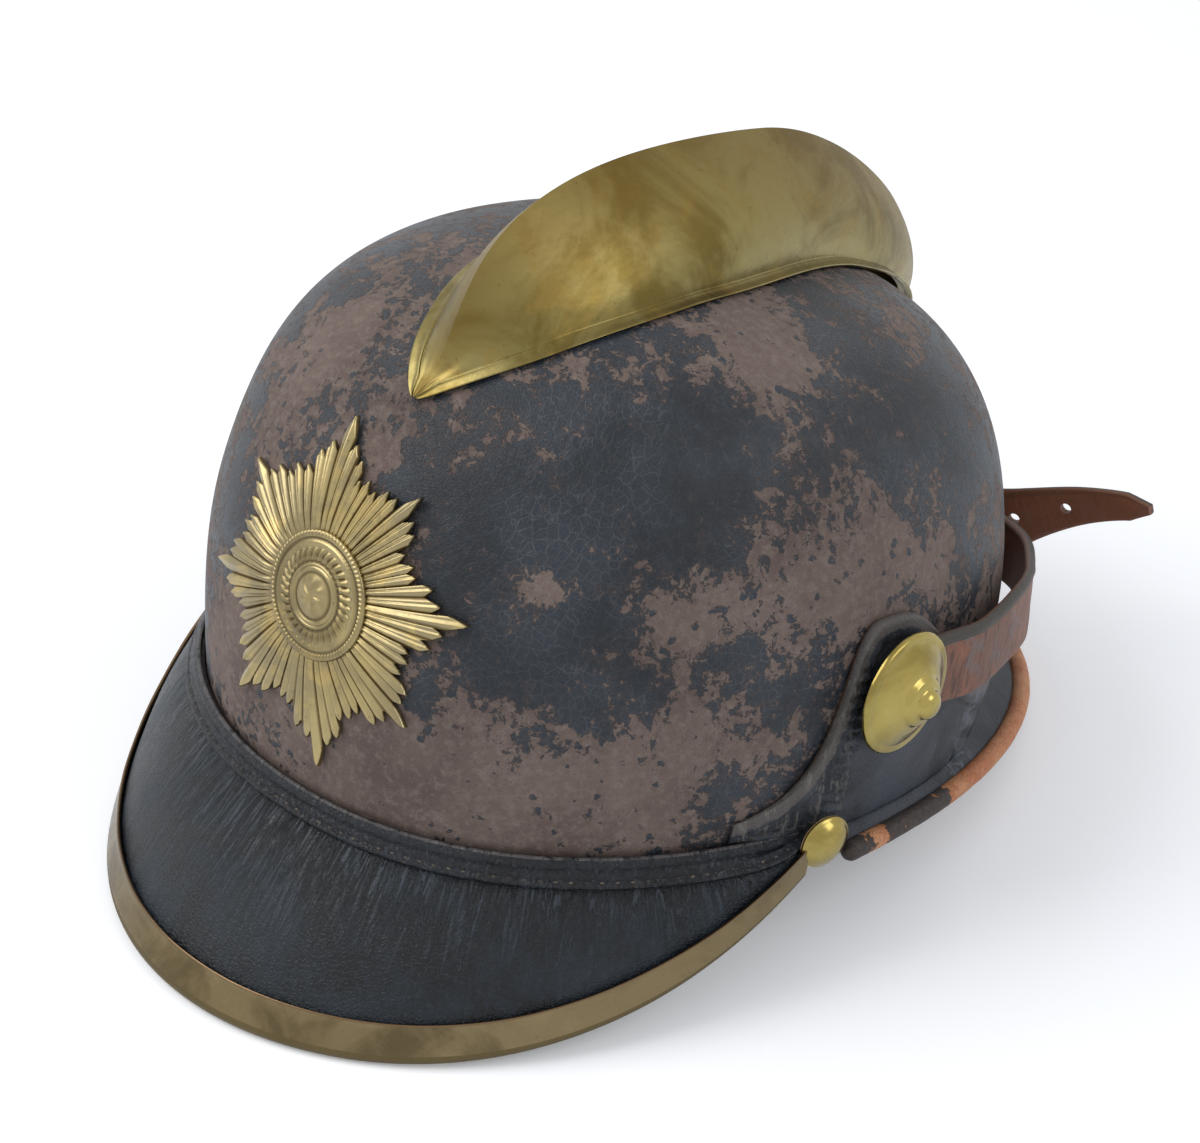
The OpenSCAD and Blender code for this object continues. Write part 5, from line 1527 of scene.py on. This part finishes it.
class Finish:
    """Base of the finishes: an empty material with a graph and the group shorthand."""

    name: str = "finish"

    def start(self) -> tuple[Material, Graph, Socket]:
        """New node material, its graph and the object coordinates."""
        material = bpy.data.materials.new(self.name)
        material.use_nodes = True
        material.node_tree.nodes.clear()
        g = Graph(material.node_tree)
        return material, g, g.here()

    @staticmethod
    def group(g: Graph, name: str, **ins: Any) -> Any:
        """Outputs of a shared group placed in this material."""
        return g.add("Group", ins, node_tree=GROUPS[name]).outputs

    @staticmethod
    def end(g: Graph, ins: dict[str, Any]) -> None:
        """Principled shader to the output."""
        shader = g.add("BsdfPrincipled", ins)
        g.add("OutputMaterial", {"Surface": shader.outputs[0]})


@dataclass(frozen=True)
class PaintedLeather(Finish):
    """Flaking slate paint over bare matt leather; raw leather inside."""

    name: str = "painted_skull_leather"
    paint: Colour = rgb(44, 51, 59)
    paint_far: Colour = rgb(27, 31, 37)
    bare: Colour = rgb(112, 97, 90)
    bare_dark: Colour = rgb(88, 74, 69)
    raw: Colour = rgb(120, 92, 68)

    def build(self) -> Material:
        """Builds the material."""
        material, g, at = self.start()
        ragged = self.group(g, "ragged_paint", Vector=at, Cover=g.layer("cover"))
        grain = self.group(g, "leather_grain", Vector=at, Size=0.9)
        crack = self.group(g, "fine_cracks", Vector=at, Size=2.7)
        inside = g.step(g.layer("inside"), 0.3, 0.7)
        cloud, mottle = g.noise(at, 26, 5, 0.6), g.noise(at, 2.2, 4, 0.7)
        paint = g.blend(g.step(cloud, 0.35, 0.65), self.paint_far, self.paint)
        paint = g.blend(g.times(crack["Line"], g.step(cloud, 0.38, 0.6, 0.15, 0.75)), paint, rgb(78, 80, 84))
        paint = g.blend(g.times(g.step(mottle, 0.55, 0.75), 0.25), paint, rgb(66, 76, 86))
        bare = g.blend(g.step(cloud, 0.3, 0.7), self.bare_dark, self.bare)
        bare = g.blend(g.times(g.step(mottle, 0.42, 0.7), 0.45), bare, rgb(134, 122, 113))
        bare = g.blend(g.times(grain["Pores"], 0.5), bare, rgb(58, 48, 48))
        skin = g.blend(ragged["Mask"], bare, paint)
        skin = g.blend(g.times(ragged["Lip"], 0.35), skin, rgb(72, 66, 68))
        raw = g.blend(g.step(mottle, 0.3, 0.7), rgb(96, 72, 52), self.raw)
        colour = g.blend(inside, skin, raw)
        gloss = g.plus(g.times(mottle, 0.2), 0.33)
        rough = g.between(inside, g.between(ragged["Mask"], 0.78, gloss), 0.85)
        relief = g.plus(g.times(grain["Height"], 0.35), g.times(ragged["Mask"], 0.9))
        relief = g.minus(relief, g.times(crack["Line"], g.times(ragged["Mask"], 0.35)))
        relief = g.plus(relief, g.times(mottle, 0.35))
        self.end(g, {"Base Color": colour, "Roughness": rough, "Normal": g.bump(relief, 0.16),
                     "Specular IOR Level": 0.3})
        return material


@dataclass(frozen=True)
class BlackLeather(Finish):
    """Black leather with a painted blue-grey sheen, pebble grain and wrinkles that follow the piece; painted
    highlights on the wrinkles and painted shade in their creases.
    """

    name: str = "black_visor_leather"
    dark: Colour = rgb(14, 18, 23)
    pale: Colour = rgb(52, 64, 76)
    layer: str = "down"
    grain_mm: float = 1.1
    rough: float = 0.36
    back: Colour = rgb(34, 28, 24)

    def build(self) -> Material:
        """Builds the material; wrinkles are noise stretched across the piece's own layers."""
        material, g, at = self.start()
        grain = self.group(g, "leather_grain", Vector=at, Size=self.grain_mm)
        inside = g.step(g.layer("inside"), 0.3, 0.7)
        along, across = g.layer("along"), g.layer(self.layer)
        own = g.add("CombineXYZ", {0: g.times(along, 0.0025), 1: g.times(across, 0.0055)}).outputs[0]
        fold = g.noise(own, 1.7, 6, 0.62, 0.8)
        fold_line = g.minus(1.0, g.math("ABSOLUTE", g.minus(g.times(fold, 2.0), 1.0)))
        ends = (0.72, 0.04, 0.14, 1.0) if self.layer == "down" else (0.0, 1.0, 0.5, 0.5)
        near_root = g.step(across, *ends)
        crease = g.times(g.step(fold_line, 0.86, 0.99), near_root)
        cloud, fine = g.noise(at, 24, 5, 0.62, 0.5), g.noise(at, 1.3, 5, 0.65)
        # Painted blue-grey sheen: the pale colour mottled in by a wide cloud and by fine specks.
        colour = g.blend(g.step(cloud, 0.38, 0.72), self.dark, g.blend(0.45, self.dark, self.pale))
        colour = g.blend(g.times(g.step(fine, 0.5, 0.72), 0.35), colour, self.pale)
        # Painted highlight on the wrinkles' ridges (on the visor strongest near its root).
        colour = g.blend(g.times(g.step(fold, 0.52, 0.7), g.times(near_root, 0.26)), colour, rgb(86, 96, 108))
        # Painted shade: near black in the wrinkles' creases.
        colour = g.blend(g.times(crease, 0.75), colour, rgb(10, 11, 14))
        if self.layer == "across":
            edge = self.group(g, "edge_wear", Vector=at, Nearness=g.step(across, 0.86, 0.99, 0.0, 0.75))
            colour = g.blend(g.times(edge["Mask"], 0.7), colour, rgb(96, 92, 92))
            fray = self.group(g, "edge_wear", Vector=at, Nearness=g.step(across, 0.09, 0.0, 0.0, 0.6))
            colour = g.blend(g.times(fray["Mask"], 0.5), colour, rgb(86, 76, 68))
        colour = g.blend(inside, colour, self.back)
        rough = g.plus(g.times(fine, 0.2), g.step(cloud, 0.4, 0.65, self.rough - 0.14, self.rough))
        relief = g.minus(g.plus(g.times(grain["Height"], 0.5), g.times(fold, 1.5)),
                        g.times(crease, 1.0))
        self.end(g, {"Base Color": colour, "Roughness": rough, "Normal": g.bump(relief, 0.2),
                     "Specular IOR Level": 0.3})
        return material


@dataclass(frozen=True)
class GuardLeather(Finish):
    """Black-grey guard leather with a brown worn border and a blue-grey crumple behind the lobes."""

    name: str = "worn_guard_leather"
    dark: Colour = rgb(32, 36, 42)
    mid: Colour = rgb(58, 62, 70)
    border: Colour = rgb(98, 91, 86)
    back: Colour = rgb(58, 44, 34)

    def build(self) -> Material:
        """Builds the material."""
        material, g, at = self.start()
        grain = self.group(g, "leather_grain", Vector=at, Size=1.0)
        rim, turn, inside = g.layer("rim_mm"), g.layer("turn"), g.step(g.layer("inside"), 0.7, 0.98)
        cloud, fine = g.noise(at, 20, 6, 0.62, 0.6), g.noise(at, 1.5, 5, 0.66)
        colour = g.blend(g.step(cloud, 0.36, 0.68), self.dark, self.mid)
        colour = g.blend(g.times(g.step(fine, 0.5, 0.75), 0.4), colour, rgb(84, 87, 92))
        worn = self.group(g, "edge_wear", Vector=at, Nearness=g.step(rim, 5.6, 1.2, 0.1, 0.95))
        colour = g.blend(g.times(worn["Mask"], 0.62), colour, self.border)
        groove = g.times(g.step(rim, 4.2, 5.0), g.step(rim, 6.4, 5.2))
        colour = g.blend(g.times(groove, 0.55), colour, rgb(22, 21, 22))
        crumple = g.times(g.step(turn, 104, 109), g.step(turn, 119, 113))
        folds = g.noise(g.warped(at, 5, 2.5), 3.4, 5, 0.6, 1.2)
        colour = g.blend(g.times(crumple, g.step(folds, 0.46, 0.62, 0.0, 0.6)), colour, rgb(98, 104, 114))
        front = g.times(g.step(turn, 84, 77),
                        g.step(g.noise(g.stretched(at, (1, 1.0, 0.22)), 1.6, 5, 0.65), 0.52, 0.66))
        colour = g.blend(g.times(front, 0.6), colour, rgb(118, 114, 108))
        colour = g.blend(inside, colour, g.blend(g.step(fine, 0.35, 0.7), self.back, rgb(84, 64, 48)))
        rough = g.plus(g.times(fine, 0.25), 0.42)
        relief = g.plus(g.times(grain["Height"], 0.5),
                        g.times(folds, g.plus(g.times(crumple, 2.5), 0.8)))
        self.end(g, {"Base Color": colour, "Roughness": rough, "Normal": g.bump(relief, 0.2),
                     "Specular IOR Level": 0.3})
        return material


@dataclass(frozen=True)
class RawEdgeLeather(Finish):
    """Rolled edge, mostly worn black, bare orange-brown leather towards the rear and near the rivets."""

    name: str = "raw_edge_leather"
    orange: Colour = rgb(176, 104, 62)
    tan: Colour = rgb(196, 138, 96)
    black: Colour = rgb(42, 34, 31)

    def build(self) -> Material:
        """Builds the material; the bare share grows with the azimuth."""
        material, g, at = self.start()
        turn = g.layer("turn")
        rear = g.step(turn, 101.0, 109.0, 0.0, 0.9)
        spot = g.times(g.step(turn, 83.0, 86.0), g.step(turn, 90.0, 87.0, 0.0, 0.5))
        bare = self.group(g, "ragged_paint", Vector=at, Cover=g.minus(0.76, g.math("MAXIMUM", rear, spot)))
        fine, cloud = g.noise(at, 1.6, 6, 0.68), g.noise(at, 9, 5, 0.6)
        raw = g.blend(g.step(cloud, 0.35, 0.65), self.orange, self.tan)
        raw = g.blend(g.times(g.step(fine, 0.55, 0.75), 0.6), raw, rgb(112, 62, 40))
        black = g.blend(g.step(fine, 0.45, 0.7), self.black, rgb(74, 56, 46))
        colour = g.blend(bare["Mask"], raw, black)
        crack = self.group(g, "fine_cracks", Vector=at, Size=2.4)
        relief = g.minus(g.plus(fine, g.times(bare["Mask"], 0.6)), g.times(crack["Line"], 0.6))
        self.end(g, {"Base Color": colour, "Roughness": g.plus(g.times(fine, 0.3), 0.45),
                     "Normal": g.bump(relief, 0.25)})
        return material


@dataclass(frozen=True)
class StrapLeather(Finish):
    """Reddish brown strap, streaked and grey in places, dark and rolled along its edges."""

    name: str = "worn_strap_leather"
    face: Colour = rgb(98, 64, 50)
    orange: Colour = rgb(126, 78, 56)
    dark: Colour = rgb(54, 38, 32)
    edge: Colour = rgb(50, 45, 38)
    back: Colour = rgb(122, 74, 48)

    def build(self) -> Material:
        """Builds the material; streaks run across the strap, on its run and across layers."""
        material, g, at = self.start()
        run, across = g.layer("run"), g.layer("across")
        own = g.add("CombineXYZ", {0: g.times(run, 0.001), 1: g.times(across, 0.0016)}).outputs[0]
        streak = g.noise(own, 1.5, 6, 0.65, 0.4)
        cloud, fine = g.noise(at, 15, 6, 0.62, 0.4), g.noise(at, 1.1, 5, 0.66)
        colour = g.blend(g.step(cloud, 0.36, 0.66), self.face, self.orange)
        colour = g.blend(g.step(streak, 0.48, 0.66, 0.0, 0.85), colour, self.dark)
        colour = g.blend(g.step(g.noise(at, 8, 7, 0.66), 0.5, 0.6, 0.0, 0.6), colour, rgb(94, 90, 92))
        colour = g.blend(g.times(g.step(fine, 0.5, 0.7), 0.35), colour, rgb(84, 48, 34))
        rim = self.group(g, "edge_wear", Vector=at, Nearness=g.step(across, 0.58, 0.8, 0.0, 1.1))
        low = self.group(g, "edge_wear", Vector=at, Nearness=g.step(across, -0.86, -0.98, 0.0, 0.95))
        colour = g.blend(rim["Mask"], colour, self.edge)
        colour = g.blend(g.times(low["Mask"], 0.8), colour, self.dark)
        inside = g.step(g.layer("inside"), 0.4, 0.6)
        colour = g.blend(g.times(inside, 0.7), colour, self.back)
        relief = g.plus(g.times(streak, 0.8), g.times(fine, 0.6))
        self.end(g, {"Base Color": colour, "Roughness": g.plus(g.times(fine, 0.25), 0.45),
                     "Normal": g.bump(relief, 0.22)})
        return material


@dataclass(frozen=True)
class LiningLeather(Finish):
    """Soft sheepskin lining leather, tan, darker where the head rubbed it."""

    name: str = "lining_sheepskin"
    face: Colour = rgb(156, 118, 80)
    worn: Colour = rgb(92, 64, 42)

    def build(self) -> Material:
        """Builds the material."""
        material, g, at = self.start()
        grain = self.group(g, "leather_grain", Vector=at, Size=0.8)
        cloud, fine = g.noise(at, 30, 6, 0.6, 0.5), g.noise(at, 2.4, 5, 0.6)
        colour = g.blend(g.step(cloud, 0.38, 0.64), self.worn, self.face)
        colour = g.blend(g.times(g.step(fine, 0.5, 0.75), 0.35), colour, rgb(182, 146, 106))
        colour = g.blend(g.times(grain["Pores"], 0.4), colour, rgb(72, 50, 34))
        relief = g.plus(grain["Height"], g.times(fine, 1.2))
        self.end(g, {"Base Color": colour, "Roughness": g.plus(g.times(fine, 0.2), 0.6),
                     "Normal": g.bump(relief, 0.14)})
        return material


@dataclass(frozen=True)
class Thread(Finish):
    """Waxed linen thread and cotton cord: fine twist marks and some dirt."""

    name: str = "linen_thread"
    pale: Colour = rgb(104, 94, 82)
    dirt: Colour = rgb(52, 46, 42)

    def build(self) -> Material:
        """Builds the material."""
        material, g, at = self.start()
        twist = g.add("TexWave", {"Vector": at, "Scale": 420.0, "Distortion": 1.5, "Detail": 2.0}).outputs[1]
        dirt = g.noise(at, 5, 5, 0.6)
        colour = g.blend(g.step(dirt, 0.4, 0.62), self.pale, self.dirt)
        colour = g.blend(g.times(twist, 0.3), colour, self.dirt)
        self.end(g, {"Base Color": colour, "Roughness": g.plus(g.times(dirt, 0.2), 0.7),
                     "Normal": g.bump(twist, 0.1)})
        return material


@dataclass(frozen=True)
class Brass(Finish):
    """Brass from dull olive to bright gilt: clouded, blotched, specked and finely rubbed; painted shade where
    a chosen layer is low.
    """

    name: str = "aged_brass"
    base: Colour = rgb(150, 136, 84)
    warm: Colour = rgb(186, 160, 92)
    dull: Colour = rgb(104, 94, 58)
    speck: Colour = rgb(66, 54, 36)
    rough: float = 0.3
    spots: float = 0.5
    layer: str = ""
    low: tuple[float, float] = (0.0, 1.0)
    painted_shade: Colour = rgb(70, 58, 32)
    bright_edge: Optional[Colour] = None
    edge_at: tuple[float, float] = (0.9, 1.0)
    shade_share: float = 0.85

    def build(self) -> Material:
        """Builds the material; a layer's low values get painted shade, a darker colour and more roughness,
        its high values a bright edge.
        """
        material, g, at = self.start()
        mark = self.group(g, "brass_tarnish", Vector=at)
        colour = g.blend(mark["Cloud"], self.dull, self.base)
        colour = g.blend(g.times(mark["Blot"], self.spots), colour, self.warm)
        colour = g.blend(g.times(mark["Speck"], self.spots), colour, self.speck)
        rough = g.plus(g.times(mark["Rub"], 0.22), g.times(mark["Blot"], 0.06))
        rough = g.plus(rough, self.rough - 0.12)
        if self.layer:
            level = g.layer(self.layer)
            # Painted shade where the layer is low: a darker colour blended in, with more roughness.
            shade_mask = g.step(level, self.low[1], self.low[0])
            colour = g.blend(g.times(shade_mask, self.shade_share), colour, self.painted_shade)
            rough = g.plus(rough, g.times(shade_mask, 0.22))
            if self.bright_edge:
                edge = self.group(g, "edge_wear", Vector=at, Nearness=g.step(level, *self.edge_at, 0.0, 1.15))
                colour = g.blend(edge["Mask"], colour, self.bright_edge)
        relief = g.plus(g.times(mark["Rub"], 0.5), g.times(g.noise(at, 7, 3, 0.5), 3.0))
        self.end(g, {"Base Color": colour, "Metallic": 1.0, "Roughness": rough,
                     "Normal": g.bump(relief, 0.05)})
        return material


# Camera, light and floor


@dataclass
class Studio:
    """Camera where the photograph was taken from, soft lamps, white surroundings and a pale floor."""

    back: tuple[float, float, float] = (0.578, -0.609, 0.543)
    right: tuple[float, float, float] = (0.725, 0.688, 0.0)
    target: tuple[float, float, float] = (-5.9, 13.1, 48.75)
    distance: float = 709.4
    lens: float = 80.586

    def axes(self) -> tuple[Array, Array, Array]:
        """Camera's right, up and backward directions, made square to each other."""
        back = unit(np.array(self.back))
        right = unit(np.array(self.right) - np.dot(self.right, back) * back)
        return right, np.cross(back, right), back

    def build_camera(self) -> None:
        """Camera without shift or depth of field."""
        right, up, back = self.axes()
        data = bpy.data.cameras.new("camera")
        data.lens, data.sensor_width, data.sensor_fit = self.lens, 36.0, "HORIZONTAL"
        data.clip_start, data.clip_end = 0.01, 20.0
        camera = bpy.data.objects.new("camera", data)
        place = (np.array(self.target) + self.distance * back) / 1000
        turn = np.column_stack([right, up, back])
        camera.matrix_world = Matrix([list(turn[k]) + [float(place[k])] for k in range(3)] + [[0, 0, 0, 1]])
        bpy.context.scene.collection.objects.link(camera)
        bpy.context.scene.camera = camera

    def lamp(self, name: str, way: Array, distance: float, size: float, power_w: float,
             colour: Colour) -> None:
        """Square area lamp in a direction from the helmet, facing it."""
        data = bpy.data.lights.new(name, "AREA")
        data.shape, data.size, data.energy, data.color = "SQUARE", size, power_w, colour[:3]
        lamp = bpy.data.objects.new(name, data)
        z = unit(way)
        x = unit(np.cross(np.array([0, 0, 1.0]), z))
        place = np.array([0, 0, 0.06]) + z * distance
        turn = np.column_stack([x, np.cross(z, x), z])
        lamp.matrix_world = Matrix([list(turn[k]) + [float(place[k])] for k in range(3)] + [[0, 0, 0, 1]])
        bpy.context.scene.collection.objects.link(lamp)

    def build_lamps(self) -> None:
        """A soft key from the upper left and weaker lamps from the right and behind."""
        right, _, back = self.axes()
        up = np.array([0, 0, 1.0])
        self.lamp("key", -1.05 * right + 1.1 * up + 0.02 * back, 1.5, 1.1, 13.0, (1.0, 0.99, 0.97, 1))
        self.lamp("side", 1.0 * right + 0.55 * up + 0.5 * back, 1.6, 0.8, 5.0, (1.0, 1.0, 1.0, 1))

    def build_world(self) -> None:
        """White where the camera, glossy and transmission rays look, plain soft light elsewhere."""
        world = bpy.data.worlds.new("surroundings")
        world.use_nodes = True
        world.node_tree.nodes.clear()
        g = Graph(world.node_tree)
        path = g.add("LightPath").outputs
        seen = g.math("MAXIMUM", path["Is Camera Ray"],
                      g.math("MAXIMUM", path["Is Glossy Ray"], path["Is Transmission Ray"]))
        soft = g.add("Background", {"Color": (0.93, 0.96, 1.0, 1), "Strength": 0.62}).outputs[0]
        white = g.add("Background", {"Color": (1, 1, 1, 1), "Strength": 1.0}).outputs[0]
        both = g.add("MixShader", {0: seen, 1: soft, 2: white}).outputs[0]
        g.add("OutputWorld", {"Surface": both})
        bpy.context.scene.world = world

    def build_floor(self) -> None:
        """Pale floor disc, lifted to white for the camera where no shadow lies on it."""
        n = 64
        ring = np.concatenate([circle(n, 1250), np.zeros((n, 1))], 1)
        mesh = bpy.data.meshes.new("floor")
        mesh.from_pydata((ring / 1000).tolist(), [], [list(range(n))])
        material = bpy.data.materials.new("pale_floor")
        material.use_nodes = True
        material.node_tree.nodes.clear()
        g = Graph(material.node_tree)
        tone = g.blend(g.step(g.noise(g.here(), 180, 3, 0.5), 0.3, 0.7), (0.88, 0.89, 0.92, 1),
                       (0.9, 0.91, 0.93, 1))
        path = g.add("LightPath").outputs
        seen = g.math("MAXIMUM", path["Is Camera Ray"], path["Is Glossy Ray"])
        shader = g.add("BsdfPrincipled", {"Base Color": tone, "Roughness": 0.85, "Specular IOR Level": 0.1,
                                          "Emission Color": (0.97, 0.98, 1.0, 1)})
        material.node_tree.links.new(g.times(seen, 0.2), shader.inputs["Emission Strength"])
        g.add("OutputMaterial", {"Surface": shader.outputs[0]})
        mesh.materials.append(material)
        floor = bpy.data.objects.new("floor", mesh)
        bpy.context.scene.collection.objects.link(floor)

    def build(self) -> None:
        """Builds camera, lamps, surroundings and floor."""
        self.build_camera()
        self.build_lamps()
        self.build_world()
        self.build_floor()
        bpy.context.scene.view_settings.view_transform = "Standard"
        LOG.info("studio ready")


# Each patch: azimuth in degrees, height share, half width in degrees, half height and gain of paint
PAINT_PATCHES = (
    (22, 0.68, 12, 0.13, 0.17), (31, 0.66, 12, 0.15, 0.19), (32, 0.42, 11, 0.13, 0.24),
    (44, 0.38, 8, 0.10, 0.19),
    (36, 0.84, 10, 0.09, 0.14), (46, 0.84, 12, 0.11, 0.14), (54, 0.76, 12, 0.12, 0.14),
    (66, 0.84, 13, 0.11, 0.17),
    (95, 0.88, 15, 0.13, 0.17), (102, 0.70, 11, 0.13, 0.14), (64, 0.40, 7, 0.09, 0.17),
    (61, 0.19, 6, 0.08, 0.15),
    (296, 0.90, 16, 0.12, 0.17), (312, 0.74, 14, 0.13, 0.14), (331, 0.56, 9, 0.11, 0.12),
    (8, 0.68, 7, 0.08, 0.14),
    (331, 0.40, 8, 0.10, 0.14), (21, 0.31, 4, 0.05, 0.14), (45, 0.62, 8, 0.09, 0.10),
    (118, 0.78, 14, 0.14, 0.14),
    (23, 0.12, 17, 0.18, -0.27), (45, 0.13, 11, 0.12, -0.20), (339, 0.79, 8, 0.08, -0.32),
    (337, 0.63, 5, 0.06, -0.23),
    (68, 0.95, 14, 0.09, -0.31), (55, 0.29, 8, 0.10, -0.31), (77, 0.57, 10, 0.12, -0.22),
    (54, 0.53, 7, 0.08, -0.22),
    (34, 0.56, 5, 0.04, -0.27), (96, 0.57, 9, 0.09, -0.20), (342, 0.20, 8, 0.10, -0.27),
    (5, 0.05, 12, 0.12, -0.27),
    (150, 0.60, 18, 0.20, 0.14), (180, 0.85, 20, 0.15, 0.12), (205, 0.45, 16, 0.16, 0.14),
    (235, 0.70, 16, 0.16, 0.14),
    (265, 0.55, 14, 0.14, 0.14), (285, 0.40, 12, 0.12, 0.12), (170, 0.30, 14, 0.12, -0.14),
    (250, 0.25, 12, 0.10, -0.14),
)


def note_sizes() -> None:
    """Brings the view layer's matrices up to date."""
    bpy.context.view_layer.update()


def main() -> None:
    """Builds the studio and the sub-assemblies in order, dresses them and brings the view layer up to date.
    """
    logging.basicConfig(level=logging.INFO, format="%(name)s: %(message)s")
    build_groups()
    Studio().build()

    painted = PaintedLeather().build()
    visor_skin = BlackLeather().build()
    band_skin = BlackLeather("black_band_leather", rgb(18, 20, 25), rgb(54, 60, 70), "across", 1.4,
                             0.34).build()
    guard_skin, edge_skin = GuardLeather().build(), RawEdgeLeather().build()
    strap_skin = StrapLeather().build()
    lining_skin, thread = LiningLeather().build(), Thread().build()
    cotton = Thread("cotton_cord", rgb(196, 184, 158), rgb(140, 122, 96)).build()
    dark_thread = Thread("black_thread", rgb(74, 68, 62), rgb(34, 31, 30)).build()
    # Comb: painted shade, darkest along the ridge and fading out towards the flange.
    comb_brass = Brass("comb_brass", rgb(138, 127, 82), rgb(140, 116, 60), rgb(102, 88, 46),
                       rgb(72, 60, 36), 0.3, 0.4,
                       "across", (0.0, 0.85), rgb(108, 86, 40), shade_share=0.5).build()
    # Trim: painted shade on the channel's roll and under lap, where the layer edge is 0.
    trim_brass = Brass("trim_brass", rgb(122, 108, 80), rgb(142, 126, 94), rgb(94, 82, 60), rgb(62, 50, 36),
                       0.28, 0.28,
                       "edge", (0.0, 0.001), rgb(96, 84, 58), rgb(112, 92, 70), (0.92, 1.0)).build()
    # Star plate: painted shade in the grooves between the rays.
    gilt = Brass("star_gilt", rgb(170, 154, 110), rgb(198, 174, 112), rgb(144, 132, 100), rgb(92, 76, 52),
                 0.32, 0.5,
                 "rib", (0.1, 0.75), rgb(98, 80, 50)).build()
    # Medallion: painted shade in its grooves.
    boss_gilt = Brass("boss_gilt", rgb(154, 140, 102), rgb(170, 150, 100), rgb(126, 114, 84),
                      rgb(80, 66, 42), 0.3, 0.5,
                      "raised", (0.0, 1.0), rgb(84, 72, 48)).build()
    bright = Brass("bright_brass", rgb(164, 148, 86), rgb(182, 166, 108), rgb(134, 118, 64),
                   rgb(98, 80, 44), 0.22, 0.22).build()
    inner = Brass("inner_brass", rgb(138, 120, 76), rgb(150, 126, 80), rgb(98, 86, 58), rgb(60, 50, 34),
                  0.4, 0.6).build()
    steel = Brass("buckle_steel", rgb(138, 134, 128), rgb(150, 138, 122), rgb(96, 92, 88), rgb(74, 50, 36),
                  0.38, 0.7).build()

    Skull(patches=PAINT_PATCHES).build(painted)
    visor = Visor()
    visor.build_leather(visor_skin)
    visor.build_welt(band_skin, thread)
    visor.build_trim(trim_brass)
    visor.build_rivets(bright)
    guard = NeckGuard()
    guard.build(guard_skin, dark_thread)
    guard.build_edge(edge_skin)
    Comb().build(comb_brass)
    star = Star()
    star.build_plate(gilt)
    star.build_medallion(boss_gilt)
    strap = ChinStrap()
    Rosettes(x=strap.rosette_x).build(bright)
    strap.build_left(strap_skin)
    strap.build_right(strap_skin)
    strap.build_keeper(strap_skin)
    lining = Lining()
    lining.build_band(lining_skin, thread)
    lining.build_tongues(lining_skin)
    lining.build_cord(cotton)
    for node in ("rivet_burrs", "comb_studs", "comb_washers", "comb_nuts", "star_studs", "star_nuts",
                 "rosette_posts", "rosette_washers", "rosette_nuts"):
        dress_node(node, inner)
    for node in ("buckle_frame", "buckle_prong"):
        dress_node(node, steel)
    note_sizes()


if __name__ == "__main__":
    main()
